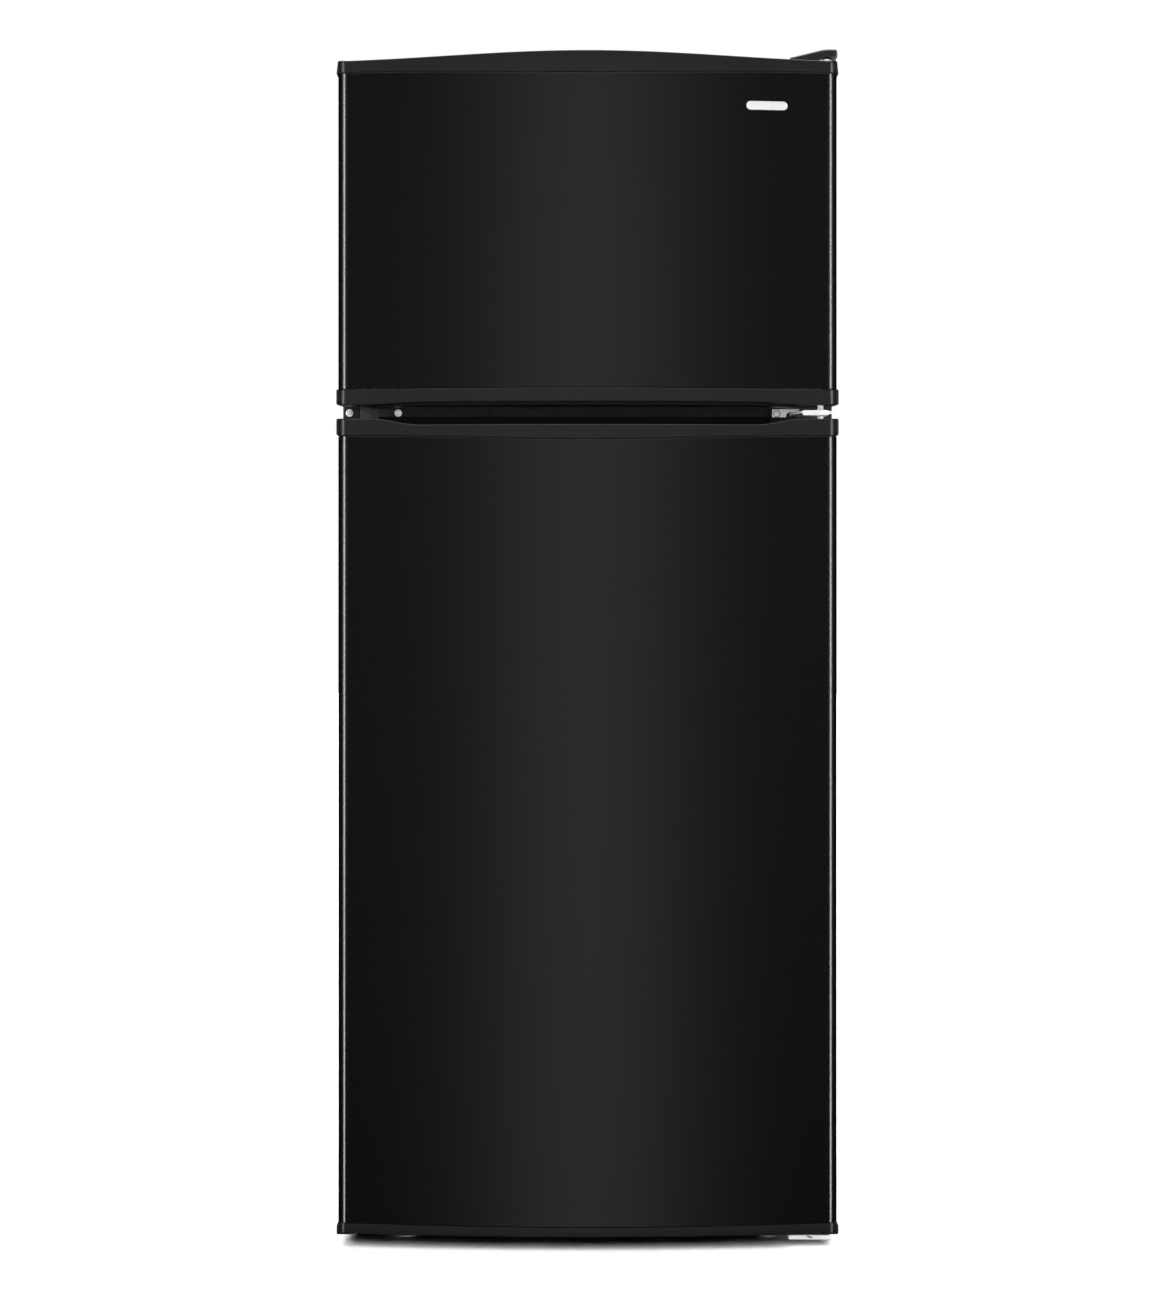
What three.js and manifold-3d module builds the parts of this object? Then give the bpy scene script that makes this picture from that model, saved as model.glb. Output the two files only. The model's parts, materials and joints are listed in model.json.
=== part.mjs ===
// Top-freezer refrigerator, 28 inch class, millimetres.
// +Z is up, the doors face -Y, +X is the viewer's right. The origin is on the floor,
// under the middle of the whole object. Both doors hinge on the right.
import * as THREE from "three";
import { mergeVertices } from "three/addons/utils/BufferGeometryUtils.js";
import Module from "manifold-3d";

const wasm = await Module();
wasm.setup();

// ---------------------------------------------------------------- driving dimensions
const GAP = 0.3; // between parts that touch
const HALF = 351.5; // half width of the cabinet and of the door skins
const TAB_HALF = 355.5; // half width over the end tabs of the handle caps
const END_HALF = 355.2; // half width over the ends of the top and bottom caps
const FACE_HALF = 347.6; // half width of a cap's front face
const CABINET_FRONT = -289;
const CABINET_BACK = 384;
const CABINET_LOW = 30;
const CABINET_TOP = 1680;
const COVER_TOP = 1697.5; // over the top hinge's cover
const SHEET = 1; // steel sheet
const LINER = 2.5; // formed plastic liner
const FLANGE_IN = 327.7; // inner edge of the wrapper's front flange, from the middle

const DOOR_APEX = -384; // front of the bowed doors in the middle
const DOOR_EDGE = -360; // front of the doors at their side edges
const DOOR_BACK = -301; // back of the folded steel skin
const CORNER = 17; // radius of the doors' vertical front edges
const HINGE_X = 331;
const HINGE_Y = -330;
const PIN = 4.5; // hinge pin radius
const PIN_HOLE = 5;

// heights of the lines across the doors, at the door's ends and in its middle
const BOTTOM_CAP_LOW = { end: 26.5, middle: 26 };
const BOTTOM_SEAM = { end: 41.2, middle: 39.8 };
const FOOD_SEAM = { end: 1150.4, middle: 1144.2 };
const FREEZER_SEAM = { end: 1215.6, middle: 1216.6 };
const TOP_SEAM = { end: 1661.7, middle: 1658.1 };
const TOP_CAP_HIGH = { end: 1678.7, middle: 1688.8 };
const FOOD_GRIP = { end: 1174.3, middle: 1165 };
const FREEZER_GRIP = { end: 1191.7, middle: 1196.8 };
const GRIP_OUTER = 307; // where the finger scoop starts and where it is at full depth
const GRIP_INNER = 236;

const ROOM = 300; // half width inside both compartments
const ROOM_BACK = 320;
const FOOD_LIP_LOW = 46.8; // bottom of the food liner's front flange, just over the base
const FOOD_FLOOR = 120;
const FOOD_CEILING = 1130;
const FREEZER_FLOOR = 1232;
const FREEZER_CEILING = 1630;
const HUMP_TOP = 310; // step in the food compartment over the machine bay
const HUMP_FRONT = 80;
const HUMP_SLOPE = 30;
const BAY_FRONT = 160;
const BAY_TOP = 240;

const RIDGE = 271; // outer half width of the ridge on a door liner
const POCKET = 236; // half width between the ridge's sides
const RIDGE_BACK = -255;
const BIN_BACK = -189;
const BIN_HALF = 233;

const LEG_XS = [-262, 262];
const LEG_Y = -255;
const ROLLER_X = 290;
const ROLLER_Y = 345;
const ROLLER_R = 17;
const RIB_LEVELS = [545, 665, 785, 905, 1025]; // undersides of the food compartment's shelf ribs
const LEDGE_IN = 293; // inner edge of a rib or ledge, from the middle
const SWITCH_Z = 1075;
const SCREW_Z = 1189; // screws in the rail between the compartments
const HINGE_SCREW_Z = 1188;
const SCREW_HOLE = 2.6;
const FAN_X = 10;
const FAN_Y = 270;
const FAN_Z = 128;
const EVAPORATOR_FAN = [0, 270, 1520];
const SHAFT_HOLE = 2.8;

// ---------------------------------------------------------------- shape helpers
function solidOf(geometry) {
  const bare = geometry.clone();
  bare.deleteAttribute("normal");
  bare.deleteAttribute("uv");
  const merged = mergeVertices(bare, 1e-4);
  const mesh = new wasm.Mesh({
    numProp: 3,
    vertProperties: Float32Array.from(merged.attributes.position.array),
    triVerts: Uint32Array.from(merged.index.array),
  });
  return new wasm.Manifold(mesh);
}

function join(...solids) {
  return solids.reduce((whole, solid) => whole.add(solid));
}

function cut(solid, ...tools) {
  return tools.reduce((rest, tool) => rest.subtract(tool), solid);
}

function block(x0, x1, y0, y1, z0, z1) {
  const geometry = new THREE.BoxGeometry(x1 - x0, y1 - y0, z1 - z0);
  geometry.translate((x0 + x1) / 2, (y0 + y1) / 2, (z0 + z1) / 2);
  return solidOf(geometry);
}

// outline of [x, y] points, extruded from z0 to z1
function plan(points, z0, z1) {
  const shape = new THREE.Shape(points.map(([x, y]) => new THREE.Vector2(x, y)));
  const geometry = new THREE.ExtrudeGeometry(shape, { depth: z1 - z0, bevelEnabled: false });
  geometry.translate(0, 0, z0);
  return solidOf(geometry);
}

// outline of [x, z] points, extruded from y0 to y1
function front(points, y0, y1) {
  const shape = new THREE.Shape(points.map(([x, z]) => new THREE.Vector2(x, z)));
  const geometry = new THREE.ExtrudeGeometry(shape, { depth: y1 - y0, bevelEnabled: false });
  geometry.rotateX(Math.PI / 2);
  geometry.translate(0, y1, 0);
  return solidOf(geometry);
}

// outline of [y, z] points, extruded from x0 to x1
function side(points, x0, x1) {
  const shape = new THREE.Shape(points.map(([y, z]) => new THREE.Vector2(y, z)));
  const geometry = new THREE.ExtrudeGeometry(shape, { depth: x1 - x0, bevelEnabled: false });
  geometry.rotateX(Math.PI / 2);
  geometry.rotateZ(Math.PI / 2);
  geometry.translate(x0, 0, 0);
  return solidOf(geometry);
}

// round bar centred on [x, y, z], lying along "x", "y" or "z"
function rod(axis, [x, y, z], radius, length, sides = 16) {
  const geometry = new THREE.CylinderGeometry(radius, radius, length, sides);
  if (axis === "x") geometry.rotateZ(Math.PI / 2);
  if (axis === "z") geometry.rotateX(Math.PI / 2);
  geometry.translate(x, y, z);
  return solidOf(geometry);
}

// turned body on the Z axis, from [radius, height] points that start and end on the axis
function turned(points, [x, y, z], sides = 20) {
  const geometry = new THREE.LatheGeometry(points.map(([r, h]) => new THREE.Vector2(r, h)), sides);
  geometry.rotateX(Math.PI / 2);
  geometry.translate(x, y, z);
  return solidOf(geometry);
}

// open box with walls of one thickness: a floor and four sides
function tray(x0, x1, y0, y1, z0, z1, wall) {
  const inside = block(x0 + wall, x1 - wall, y0 + wall, y1 - wall, z0 + wall, z1 + 1);
  return cut(block(x0, x1, y0, y1, z0, z1), inside);
}

// round tube that follows a list of points
function tube(points, radius, steps, sides) {
  const places = points.map((point) => new THREE.Vector3(...point));
  const tension = 0.3;
  const path = new THREE.CatmullRomCurve3(places, false, "catmullrom", tension);
  const section = new THREE.Shape();
  section.absarc(0, 0, radius, 0, Math.PI * 2);
  const options = { extrudePath: path, steps, curveSegments: sides / 2, bevelEnabled: false };
  return solidOf(new THREE.ExtrudeGeometry(section, options));
}

// ---------------------------------------------------------------- materials
function finish(color, roughness, metalness) {
  return new THREE.MeshStandardMaterial({ color, roughness, metalness });
}

const DOOR_STEEL = finish(0x141414, 0.22, 0.1);
const CASE_STEEL = finish(0x161616, 0.45, 0.1);
const CAP_PLASTIC = finish(0x2a2a2a, 0.4, 0);
const FRAME_STEEL = finish(0x202022, 0.5, 0.4);
const PLATED_STEEL = finish(0xd8d8d8, 0.3, 0.9);
const LINER_PLASTIC = finish(0xf1f1ee, 0.4, 0);
const BIN_PLASTIC = finish(0xf4f6f8, 0.25, 0);
const FOAM = finish(0xe6d9a8, 0.9, 0);
const GASKET_VINYL = finish(0x1c1c1c, 0.7, 0);
const GLASS = finish(0xdfeae6, 0.1, 0);
const ALUMINIUM = finish(0xb8bbbf, 0.4, 0.9);
const COPPER = finish(0xa8683c, 0.4, 0.8);
const BLACK_PLASTIC = finish(0x1a1a1a, 0.6, 0);
const CAST = finish(0x18191a, 0.55, 0.3);
const GREY_PLASTIC = finish(0x8a8d90, 0.5, 0);
const BADGE_METAL = finish(0xcfcfcf, 0.25, 0.9);

const refrigerator = new THREE.Group();

function add(name, solid, material) {
  const { vertProperties, triVerts } = solid.getMesh();
  const geometry = new THREE.BufferGeometry();
  geometry.setAttribute("position", new THREE.BufferAttribute(vertProperties, 3));
  geometry.setIndex(new THREE.BufferAttribute(triVerts, 1));
  geometry.computeVertexNormals();
  const mesh = new THREE.Mesh(geometry, material);
  mesh.name = name;
  refrigerator.add(mesh);
}

// ---------------------------------------------------------------- door outlines
const BOW_STEPS = 16;

function bow(x, inset) {
  return DOOR_APEX + inset + (DOOR_EDGE - DOOR_APEX) * (x / HALF) ** 2;
}

// plan of a door: flat back, straight sides, round front edges and a bowed front
function doorPlan(half, inset, back) {
  const points = [[-half, back]];
  const radius = CORNER - inset;
  const straight = half - radius;
  const arcY = bow(straight, inset) + radius;
  for (let i = 0; i <= 4; i += 1) {
    const turn = (Math.PI / 2) * (i / 4);
    points.push([-straight - radius * Math.cos(turn), arcY - radius * Math.sin(turn)]);
  }
  for (let i = 1; i < BOW_STEPS; i += 1) {
    const x = -straight + (2 * straight * i) / BOW_STEPS;
    points.push([x, bow(x, inset)]);
  }
  for (let i = 4; i >= 0; i -= 1) {
    const turn = (Math.PI / 2) * (i / 4);
    points.push([straight + radius * Math.cos(turn), arcY - radius * Math.sin(turn)]);
  }
  points.push([half, back]);
  return points;
}

// height of a line across a door, which sags or rises towards the middle
function line({ end, middle }, x) {
  const share = Math.cos((Math.PI / 2) * Math.min(1, Math.abs(x) / HALF)) ** 2;
  return end + (middle - end) * share;
}

// height of a grip's edge, with the S-shaped step down into the finger scoop
function grip({ end, middle }, x) {
  const share = THREE.MathUtils.smoothstep(Math.abs(x), GRIP_INNER, GRIP_OUTER);
  return middle + (end - middle) * share;
}

// everything between two lines across the door, as a wide slab
function between(low, high) {
  const reach = 360;
  const stations = [];
  for (let x = -reach; x <= reach; x += 20) stations.push(x);
  const lower = stations.map((x) => [x, low(x)]);
  const upper = stations.map((x) => [x, high(x)]).reverse();
  return front([...lower, ...upper], DOOR_APEX - 5, CABINET_FRONT);
}

function hingeHole(z0, z1) {
  return rod("z", [HINGE_X, HINGE_Y, (z0 + z1) / 2], PIN_HOLE, z1 - z0);
}

// folded steel skin, and the foam that fills it and the liner's ridge
function doorShell(name, lowLine, highLine, ridgeLow, ridgeHigh) {
  const low = (x) => line(lowLine, x) + GAP;
  const high = (x) => line(highLine, x) - GAP;
  const z0 = lowLine.end - 20;
  const z1 = highLine.end + 20;
  const outer = plan(doorPlan(HALF, 0, DOOR_BACK), z0, z1);
  const inner = plan(doorPlan(HALF - SHEET, SHEET, DOOR_BACK - SHEET), z0, z1);
  const backHole = block(-335, 335, DOOR_BACK - 5, DOOR_BACK + 5, z0, z1);
  const slab = between(low, high);
  add(`${name}_skin`, cut(outer, inner, backHole).intersect(slab), DOOR_STEEL);

  const fill = SHEET + GAP;
  const foamPlan = plan(doorPlan(HALF - fill, fill, DOOR_BACK - fill), z0, z1);
  const foamSlab = foamPlan.intersect(between((x) => low(x) + GAP, (x) => high(x) - GAP));
  const foamBack = block(-334, 334, DOOR_BACK - 5, DOOR_BACK, lowLine.end + 5, highLine.middle - 5);
  const grow = LINER + GAP;
  const ridgeHalf = RIDGE - grow;
  const ridgeBack = RIDGE_BACK - grow;
  const ridge = block(-ridgeHalf, ridgeHalf, DOOR_BACK - 1, ridgeBack, ridgeLow + grow, ridgeHigh - grow);
  const wall = RIDGE - POCKET - grow;
  const hollowHalf = RIDGE - wall;
  const hollow = block(-hollowHalf, hollowHalf, DOOR_BACK, 0, ridgeLow + wall, ridgeHigh - wall);
  add(`${name}_core`, join(foamSlab, foamBack, cut(ridge, hollow)), FOAM);
}

// formed liner on the back of a door: a flat flange with a raised hollow ridge
function doorLiner(z0, z1, ridgeLow, ridgeHigh) {
  const wall = RIDGE - POCKET;
  const flange = block(-340, 340, DOOR_BACK + GAP, DOOR_BACK + GAP + LINER, z0, z1);
  const ridge = block(-RIDGE, RIDGE, DOOR_BACK + GAP, RIDGE_BACK, ridgeLow, ridgeHigh);
  const pocket = block(-POCKET, POCKET, DOOR_BACK + GAP + LINER, 0, ridgeLow + wall, ridgeHigh - wall);
  const inner = RIDGE - LINER;
  const foamBack = RIDGE_BACK - LINER;
  const foamSpace = block(-inner, inner, DOOR_BACK - 1, foamBack, ridgeLow + LINER, ridgeHigh - LINER);
  const keep = POCKET + LINER;
  const islandWall = RIDGE - keep;
  const island = block(-keep, keep, DOOR_BACK - 2, 0, ridgeLow + islandWall, ridgeHigh - islandWall);
  return cut(join(flange, ridge), pocket, cut(foamSpace, island));
}

// door seal: a flat ring that lies just short of the cabinet's front
function gasket(name, z0, z1) {
  const y0 = DOOR_BACK + LINER + 2 * GAP;
  const y1 = CABINET_FRONT - 0.7;
  const ring = cut(block(-330, 330, y0, y1, z0, z1), block(-316, 316, y0 - 1, y1 + 1, z0 + 14, z1 - 14));
  add(name, ring, GASKET_VINYL);
}

// end tabs of a cap, set back from its front face
const TAB_FRONT = -346;

function tabs(half, z0, z1) {
  return [-1, 1].map((s) => {
    const corner = 4;
    const points = [
      [s * 330, DOOR_BACK - GAP],
      [s * half, DOOR_BACK - GAP],
      [s * half, TAB_FRONT + corner],
      [s * (half - corner), TAB_FRONT],
      [s * 330, TAB_FRONT],
    ];
    return plan(points, z0, z1);
  });
}

// ---------------------------------------------------------------- cabinet
function cabinet() {
  const shellPoints = (half, top, low, bevel) => [
    [-half, low],
    [-half, top - bevel],
    [-half + bevel, top],
    [half - bevel, top],
    [half, top - bevel],
    [half, low],
  ];
  const low = CABINET_LOW + GAP;
  const outer = front(shellPoints(HALF, CABINET_TOP, low, 5), CABINET_FRONT, CABINET_BACK);
  const inner = front(
    shellPoints(HALF - SHEET, CABINET_TOP - SHEET, low - 5, 4.6),
    CABINET_FRONT + SHEET,
    CABINET_BACK - SHEET,
  );
  const frontHole = block(-FLANGE_IN, FLANGE_IN, CABINET_FRONT - 5, CABINET_FRONT + 5, 0, CABINET_TOP - 23.5);
  const backHole = block(-335, 335, CABINET_BACK - 5, CABINET_BACK + 5, 0, CABINET_TOP - 16);
  const screwHole = rod("y", [-342, CABINET_FRONT, SCREW_Z], SCREW_HOLE, 30, 12);
  add("cabinet_wrapper", cut(outer, inner, frontHole, backHole, screwHole), CASE_STEEL);

  const panelFront = CABINET_BACK - SHEET - GAP - SHEET;
  const panel = block(-345, 345, panelFront, panelFront + SHEET, BAY_TOP + 6, CABINET_TOP - 6);
  add("back_panel", panel, CASE_STEEL);

  const foamHalf = HALF - SHEET - GAP;
  const foam = front(
    shellPoints(foamHalf, CABINET_TOP - SHEET - GAP, low, 4.6),
    CABINET_FRONT + SHEET + GAP,
    panelFront - GAP,
  );
  const clear = LINER + GAP;
  const freezerRoom = block(
    -ROOM - clear, ROOM + clear, -400, ROOM_BACK + clear, FREEZER_FLOOR - clear, FREEZER_CEILING + clear,
  );
  const foodRoom = side(foodSection(clear), -ROOM - clear, ROOM + clear);
  const bay = block(-400, 400, BAY_FRONT - GAP, 500, 0, BAY_TOP + GAP);
  const lipDepth = CABINET_FRONT + clear + 0.3;
  const lipRoom = block(-FLANGE_IN - 0.5, FLANGE_IN + 0.5, -400, lipDepth, 0, CABINET_TOP - 23);
  const railRoom = block(-FLANGE_IN - 0.5, FLANGE_IN + 0.5, -400, CABINET_FRONT + 16, 1159, 1223);
  const legHoles = LEG_XS.map((x) => rod("z", [x, LEG_Y, 40], 12.6, 40));
  const switchRoom = block(-316, -300, -400, CABINET_FRONT + 26, SWITCH_Z - 8, SWITCH_Z + 8);
  const baseRoom = block(-400, 400, -400, 0, 0, 47);
  const rooms = [freezerRoom, foodRoom, bay, lipRoom, railRoom, switchRoom, baseRoom];
  add("cabinet_insulation", cut(foam, ...rooms, screwHole, ...legHoles), FOAM);
}

// side section of the food compartment, grown outwards all round and open at the front
function foodSection(grow) {
  const openFront = CABINET_FRONT - 60;
  return [
    [openFront, FOOD_FLOOR - grow],
    [HUMP_FRONT + grow, FOOD_FLOOR - grow],
    [HUMP_FRONT + HUMP_SLOPE + grow, HUMP_TOP - grow],
    [ROOM_BACK + grow, HUMP_TOP - grow],
    [ROOM_BACK + grow, FOOD_CEILING + grow],
    [openFront, FOOD_CEILING + grow],
  ];
}

// ledge along a compartment's side wall, which carries a shelf
function ledge(s, y0, y1, z0, z1) {
  const inner = s * LEDGE_IN;
  const outer = s * (ROOM + 2);
  return block(Math.min(inner, outer), Math.max(inner, outer), y0, y1, z0, z1);
}

function liners() {
  const lipBack = CABINET_FRONT + LINER;
  const lip = FLANGE_IN - GAP;
  const freezerOuter = block(
    -ROOM - LINER, ROOM + LINER, CABINET_FRONT, ROOM_BACK + LINER, FREEZER_FLOOR - LINER, FREEZER_CEILING + LINER,
  );
  const freezerLip = block(-lip, lip, CABINET_FRONT, lipBack, 1222.3, CABINET_TOP - 23.5 - GAP);
  const freezerRoom = block(-ROOM, ROOM, -400, ROOM_BACK, FREEZER_FLOOR, FREEZER_CEILING);
  const freezerLedges = [-1, 1].map((s) => ledge(s, -150, 236, 1424, 1429.5));
  const freezer = cut(join(freezerOuter, freezerLip), freezerRoom);
  add("freezer_liner", join(freezer, ...freezerLedges), LINER_PLASTIC);

  const outer = side(foodSection(LINER), -ROOM - LINER, ROOM + LINER);
  const trim = block(-400, 400, -500, CABINET_FRONT, 0, 1300);
  const foodLip = block(-lip, lip, CABINET_FRONT, lipBack, FOOD_LIP_LOW, 1159.7);
  const room = side(foodSection(0), -ROOM, ROOM);
  const ribs = RIB_LEVELS.flatMap((z) => [-1, 1].map((s) => ledge(s, -160, 300, z, z + 5)));
  const switchHole = block(-312, -304, -400, -280, SWITCH_Z - 4, SWITCH_Z + 4);
  const food = cut(join(cut(outer, trim), foodLip), room, switchHole);
  add("food_liner", join(food, ...ribs), LINER_PLASTIC);
}

function rail() {
  const half = FLANGE_IN - GAP;
  const low = 1160;
  const high = 1222;
  const channel = cut(
    block(-half, half, CABINET_FRONT, CABINET_FRONT + 14, low, high),
    block(-half - 1, half + 1, CABINET_FRONT + 1.5, CABINET_FRONT + 20, low + 1.5, high - 1.5),
  );
  const innerHole = rod("y", [-272, CABINET_FRONT, SCREW_Z], SCREW_HOLE, 30, 12);
  const hingeHoleInRail = rod("y", [272, CABINET_FRONT, HINGE_SCREW_Z], SCREW_HOLE, 30, 12);
  add("mullion_rail", cut(channel, innerHole, hingeHoleInRail), CASE_STEEL);
  screw("rail_screw_outer", -342, SCREW_Z, CABINET_FRONT, 5.3);
  screw("rail_screw_inner", -272, SCREW_Z, CABINET_FRONT, 5.3);
}

// domed hexagonal washer screw, driven in towards +Y
function screw(name, x, z, faceY, radius) {
  const y = faceY - GAP;
  const head = rod("y", [x, y - 1.2, z], radius, 2.4, 12);
  const hex = rod("y", [x, y - 3, z], radius * 0.62, 2.4, 6);
  const shank = rod("y", [x, y + 4, z], 2.2, 10, 8);
  add(name, join(head, hex, shank), PLATED_STEEL);
}

// ---------------------------------------------------------------- hinges
function hinges() {
  const topPlate = plan(
    [[301, -205], [301, -300], [314, -344], [340, -346], [347, -338], [347, -300], [336, -205]], 1681, 1685,
  );
  const topPin = rod("z", [HINGE_X, HINGE_Y, 1673], PIN, 18);
  add("top_hinge", join(topPlate, topPin), PLATED_STEEL);

  const outline = (shrink, low) => [
    [286 + shrink, low],
    [286 + shrink, 1685.6 - shrink],
    [336, COVER_TOP - shrink],
    [350 - shrink, COVER_TOP - shrink],
    [353.2 - shrink, COVER_TOP - 3.4 - shrink],
    [353.2 - shrink, low],
  ];
  const coverFront = -352;
  const coverBack = -185;
  const roof = front(outline(0, CABINET_TOP + GAP), coverFront, coverBack);
  const hollow = front(outline(2.5, 1600), coverFront + 2.5, coverBack - 2.5);
  const overDoor = block(280, 360, -360, CABINET_FRONT + 2, 1600, 1683.4);
  const window = block(335.5, 360, -360, CABINET_FRONT + 2, 1600, 1687);
  const overSide = block(HALF - 0.5, 360, -360, 0, 1600, 1683);
  add("top_hinge_cover", cut(roof, hollow, overDoor, window, overSide), CAP_PLASTIC);

  const face = CABINET_FRONT - GAP;
  const mountPlate = block(265.5, 285.5, face - 2.5, face, 1182.8, 1194.4);
  const neck = block(285, 304, face - 2.5, face, 1183.5, 1194.4);
  const lip = block(304.5, 341.5, -347, -343.5, 1180.4, 1187.8);
  const arm = plan(
    [[290, face], [290, -318], [304, -342], [318, -347], [338, -347], [343, -340], [343, -318], [325, face]],
    1183.5, 1187.4,
  );
  const pins = rod("z", [HINGE_X, HINGE_Y, 1185], PIN, 42);
  const washer = rod("z", [HINGE_X, HINGE_Y, 1185], 8.5, 9);
  const screwHole = rod("y", [272, face, HINGE_SCREW_Z], SCREW_HOLE, 30, 12);
  add("center_hinge", cut(join(mountPlate, neck, arm, lip, pins, washer), screwHole), PLATED_STEEL);
  screw("center_hinge_screw", 272, HINGE_SCREW_Z, face - 2.5, 4.5);

  const bottomPlate = plan(
    [[284, -232], [284, -345.5], [285.5, -347], [342, -347], [343.5, -345.5], [343.5, -232]], 12.4, 18.6,
  );
  const bottomPin = rod("z", [HINGE_X, HINGE_Y, 27.5], PIN, 22);
  const packing = block(286, 338, -283, -234, 18, 26 - GAP);
  add("bottom_hinge", join(bottomPlate, bottomPin, packing), PLATED_STEEL);
}

// ---------------------------------------------------------------- base and feet
function base() {
  const plate = block(-HALF + 0.5, HALF - 0.5, CABINET_FRONT + 4, CABINET_BACK - 2, 26, CABINET_LOW);
  const riser = block(-HALF + 2, HALF - 2, CABINET_FRONT + 4, CABINET_FRONT + 60, CABINET_LOW - 1, 46.5);
  const riserSpace = block(-HALF + 4, HALF - 4, CABINET_FRONT + 6, CABINET_FRONT + 58, 20, 44.5);
  const skirts = [-1, 1].map((s) => block(
    Math.min(s * 340, s * 343), Math.max(s * 340, s * 343), -215, CABINET_BACK - 6, 8, 27,
  ));
  const bosses = LEG_XS.map((x) => rod("z", [x, LEG_Y, 35], 11, 22));
  const legBores = LEG_XS.map((x) => rod("z", [x, LEG_Y, 36], 5.6, 40));
  const brackets = [-1, 1].flatMap((s) => [ROLLER_X - 12, ROLLER_X + 12].map((x) => {
    return side([[325, 27], [365, 27], [352, 9], [338, 9]], s * x - 1.2, s * x + 1.2);
  }));
  const slots = [-1, 1].map((s) => block(s * ROLLER_X - 9.5, s * ROLLER_X + 9.5, 322, 368, 10, 40));
  const axleHoles = [-1, 1].map((s) => rod("x", [s * ROLLER_X, ROLLER_Y, ROLLER_R], 3.5, 40, 12));
  const open = cut(join(plate, riser), riserSpace);
  const frame = join(open, ...skirts, ...bosses, ...brackets);
  add("base_frame", cut(frame, ...legBores, ...slots, ...axleHoles), FRAME_STEEL);

  const grille = block(-276, 276, -279, -276, 4, 25.5);
  const grilleSlots = [];
  for (let i = 0; i < 9; i += 1) {
    const x = -240 + i * 60;
    grilleSlots.push(block(x - 24, x + 24, -290, -270, 9, 13), block(x - 24, x + 24, -290, -270, 17, 21));
  }
  const stubs = [-200, 200].map((x) => block(x - 15, x + 15, -277, -262, 22, 25.5));
  add("toe_grille", join(cut(grille, ...grilleSlots), ...stubs), BLACK_PLASTIC);

  LEG_XS.forEach((x, i) => {
    const pad = rod("z", [x, LEG_Y, 4], 15, 8, 20);
    const nut = rod("z", [x, LEG_Y, 11], 9, 8, 6);
    const stem = rod("z", [x, LEG_Y, 28], 5, 32, 12);
    add(`leveling_leg_${i === 0 ? "left" : "right"}`, join(pad, nut, stem), PLATED_STEEL);
  });
  [-1, 1].forEach((s) => {
    const wheel = rod("x", [s * ROLLER_X, ROLLER_Y, ROLLER_R], ROLLER_R, 16, 24);
    const axle = rod("x", [s * ROLLER_X, ROLLER_Y, ROLLER_R], 3, 34, 12);
    add(`rear_roller_${s < 0 ? "left" : "right"}`, join(wheel, axle), BLACK_PLASTIC);
  });
}

// ---------------------------------------------------------------- machine bay
function fanBlades(axis, [x, y, z], radius, hub, count) {
  const parts = [rod("z", [0, 0, 0], hub, 16, 16)];
  for (let i = 0; i < count; i += 1) {
    const blade = new THREE.BoxGeometry(radius - hub + 4, radius * 0.62, 1.6);
    blade.rotateX(0.45);
    blade.translate((radius + hub - 4) / 2, 0, 0);
    blade.rotateZ((i / count) * Math.PI * 2);
    parts.push(solidOf(blade));
  }
  const fan = join(...parts);
  const turn = axis === "x" ? [0, 90, 0] : [90, 0, 0];
  return fan.rotate(turn).translate([x, y, z]);
}

// tube that runs to and fro along Y in one or more layers side by side
function serpentine(x0, layers, layerStep, y0, y1, z0, rows, rowStep, radius, steps) {
  const points = [];
  let forward = true;
  for (let layer = 0; layer < layers; layer += 1) {
    for (let row = 0; row < rows; row += 1) {
      const level = layer % 2 === 0 ? row : rows - 1 - row;
      const z = z0 + level * rowStep;
      const x = x0 + layer * layerStep;
      const ends = forward ? [y0, y1] : [y1, y0];
      points.push([x, ends[0], z], [x, (ends[0] + ends[1]) / 2, z], [x, ends[1], z]);
      forward = !forward;
    }
  }
  return tube(points, radius, steps, 6);
}

function machineBay() {
  const shell = turned(
    [[0, 0], [60, 0], [78, 12], [84, 40], [84, 88], [78, 120], [58, 144], [28, 154], [0, 156]],
    [-205, 268, 41], 20,
  );
  const feet = block(-292, -118, 226, 310, 38, 42);
  const mounts = [[-280, 238], [-130, 238], [-280, 298], [-130, 298]].map(([x, y]) => {
    return rod("z", [x, y, 34.5], 7, 8, 10);
  });
  const stub = rod("z", [-160, 300, 160], 4, 70, 8);
  add("compressor", join(shell, feet, stub, ...mounts), CAST);

  add("drain_pan", tray(66, 268, 172, 368, 30.5, 58, 2), BLACK_PLASTIC);
  add("condenser_coil", serpentine(95, 3, 70, 190, 350, 84, 4, 40, 4.5, 132), COPPER);

  const can = rod("x", [FAN_X + 34, FAN_Y, FAN_Z], 24, 32, 16);
  const shaft = rod("x", [FAN_X + 12, FAN_Y, FAN_Z], 2.4, 22, 8);
  const stand = block(FAN_X + 28, FAN_X + 40, FAN_Y - 8, FAN_Y + 8, 30.4, 118);
  add("condenser_fan_motor", join(can, shaft, stand), GREY_PLASTIC);
  const fan = fanBlades("x", [FAN_X, FAN_Y, FAN_Z], 66, 16, 5);
  const fanHole = rod("x", [FAN_X, FAN_Y, FAN_Z], SHAFT_HOLE, 60, 8);
  add("condenser_fan", cut(fan, fanHole), BLACK_PLASTIC);

  const coverY = CABINET_BACK - SHEET;
  const sheet = block(-333, 333, coverY - 2, coverY, 32, BAY_TOP - 2);
  const louvres = [];
  for (let i = 0; i < 7; i += 1) {
    for (let k = 0; k < 3; k += 1) {
      const x = -270 + i * 72;
      louvres.push(block(x - 26, x + 26, coverY - 10, coverY + 5, 82 + k * 44, 92 + k * 44));
    }
  }
  const inlet = rod("y", [290, coverY - 3, 190], 16, 8, 16);
  const inletHole = rod("y", [290, coverY, 190], 7, 40, 12);
  add("machine_cover", cut(join(cut(sheet, ...louvres), inlet), inletHole), BLACK_PLASTIC);
}

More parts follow.
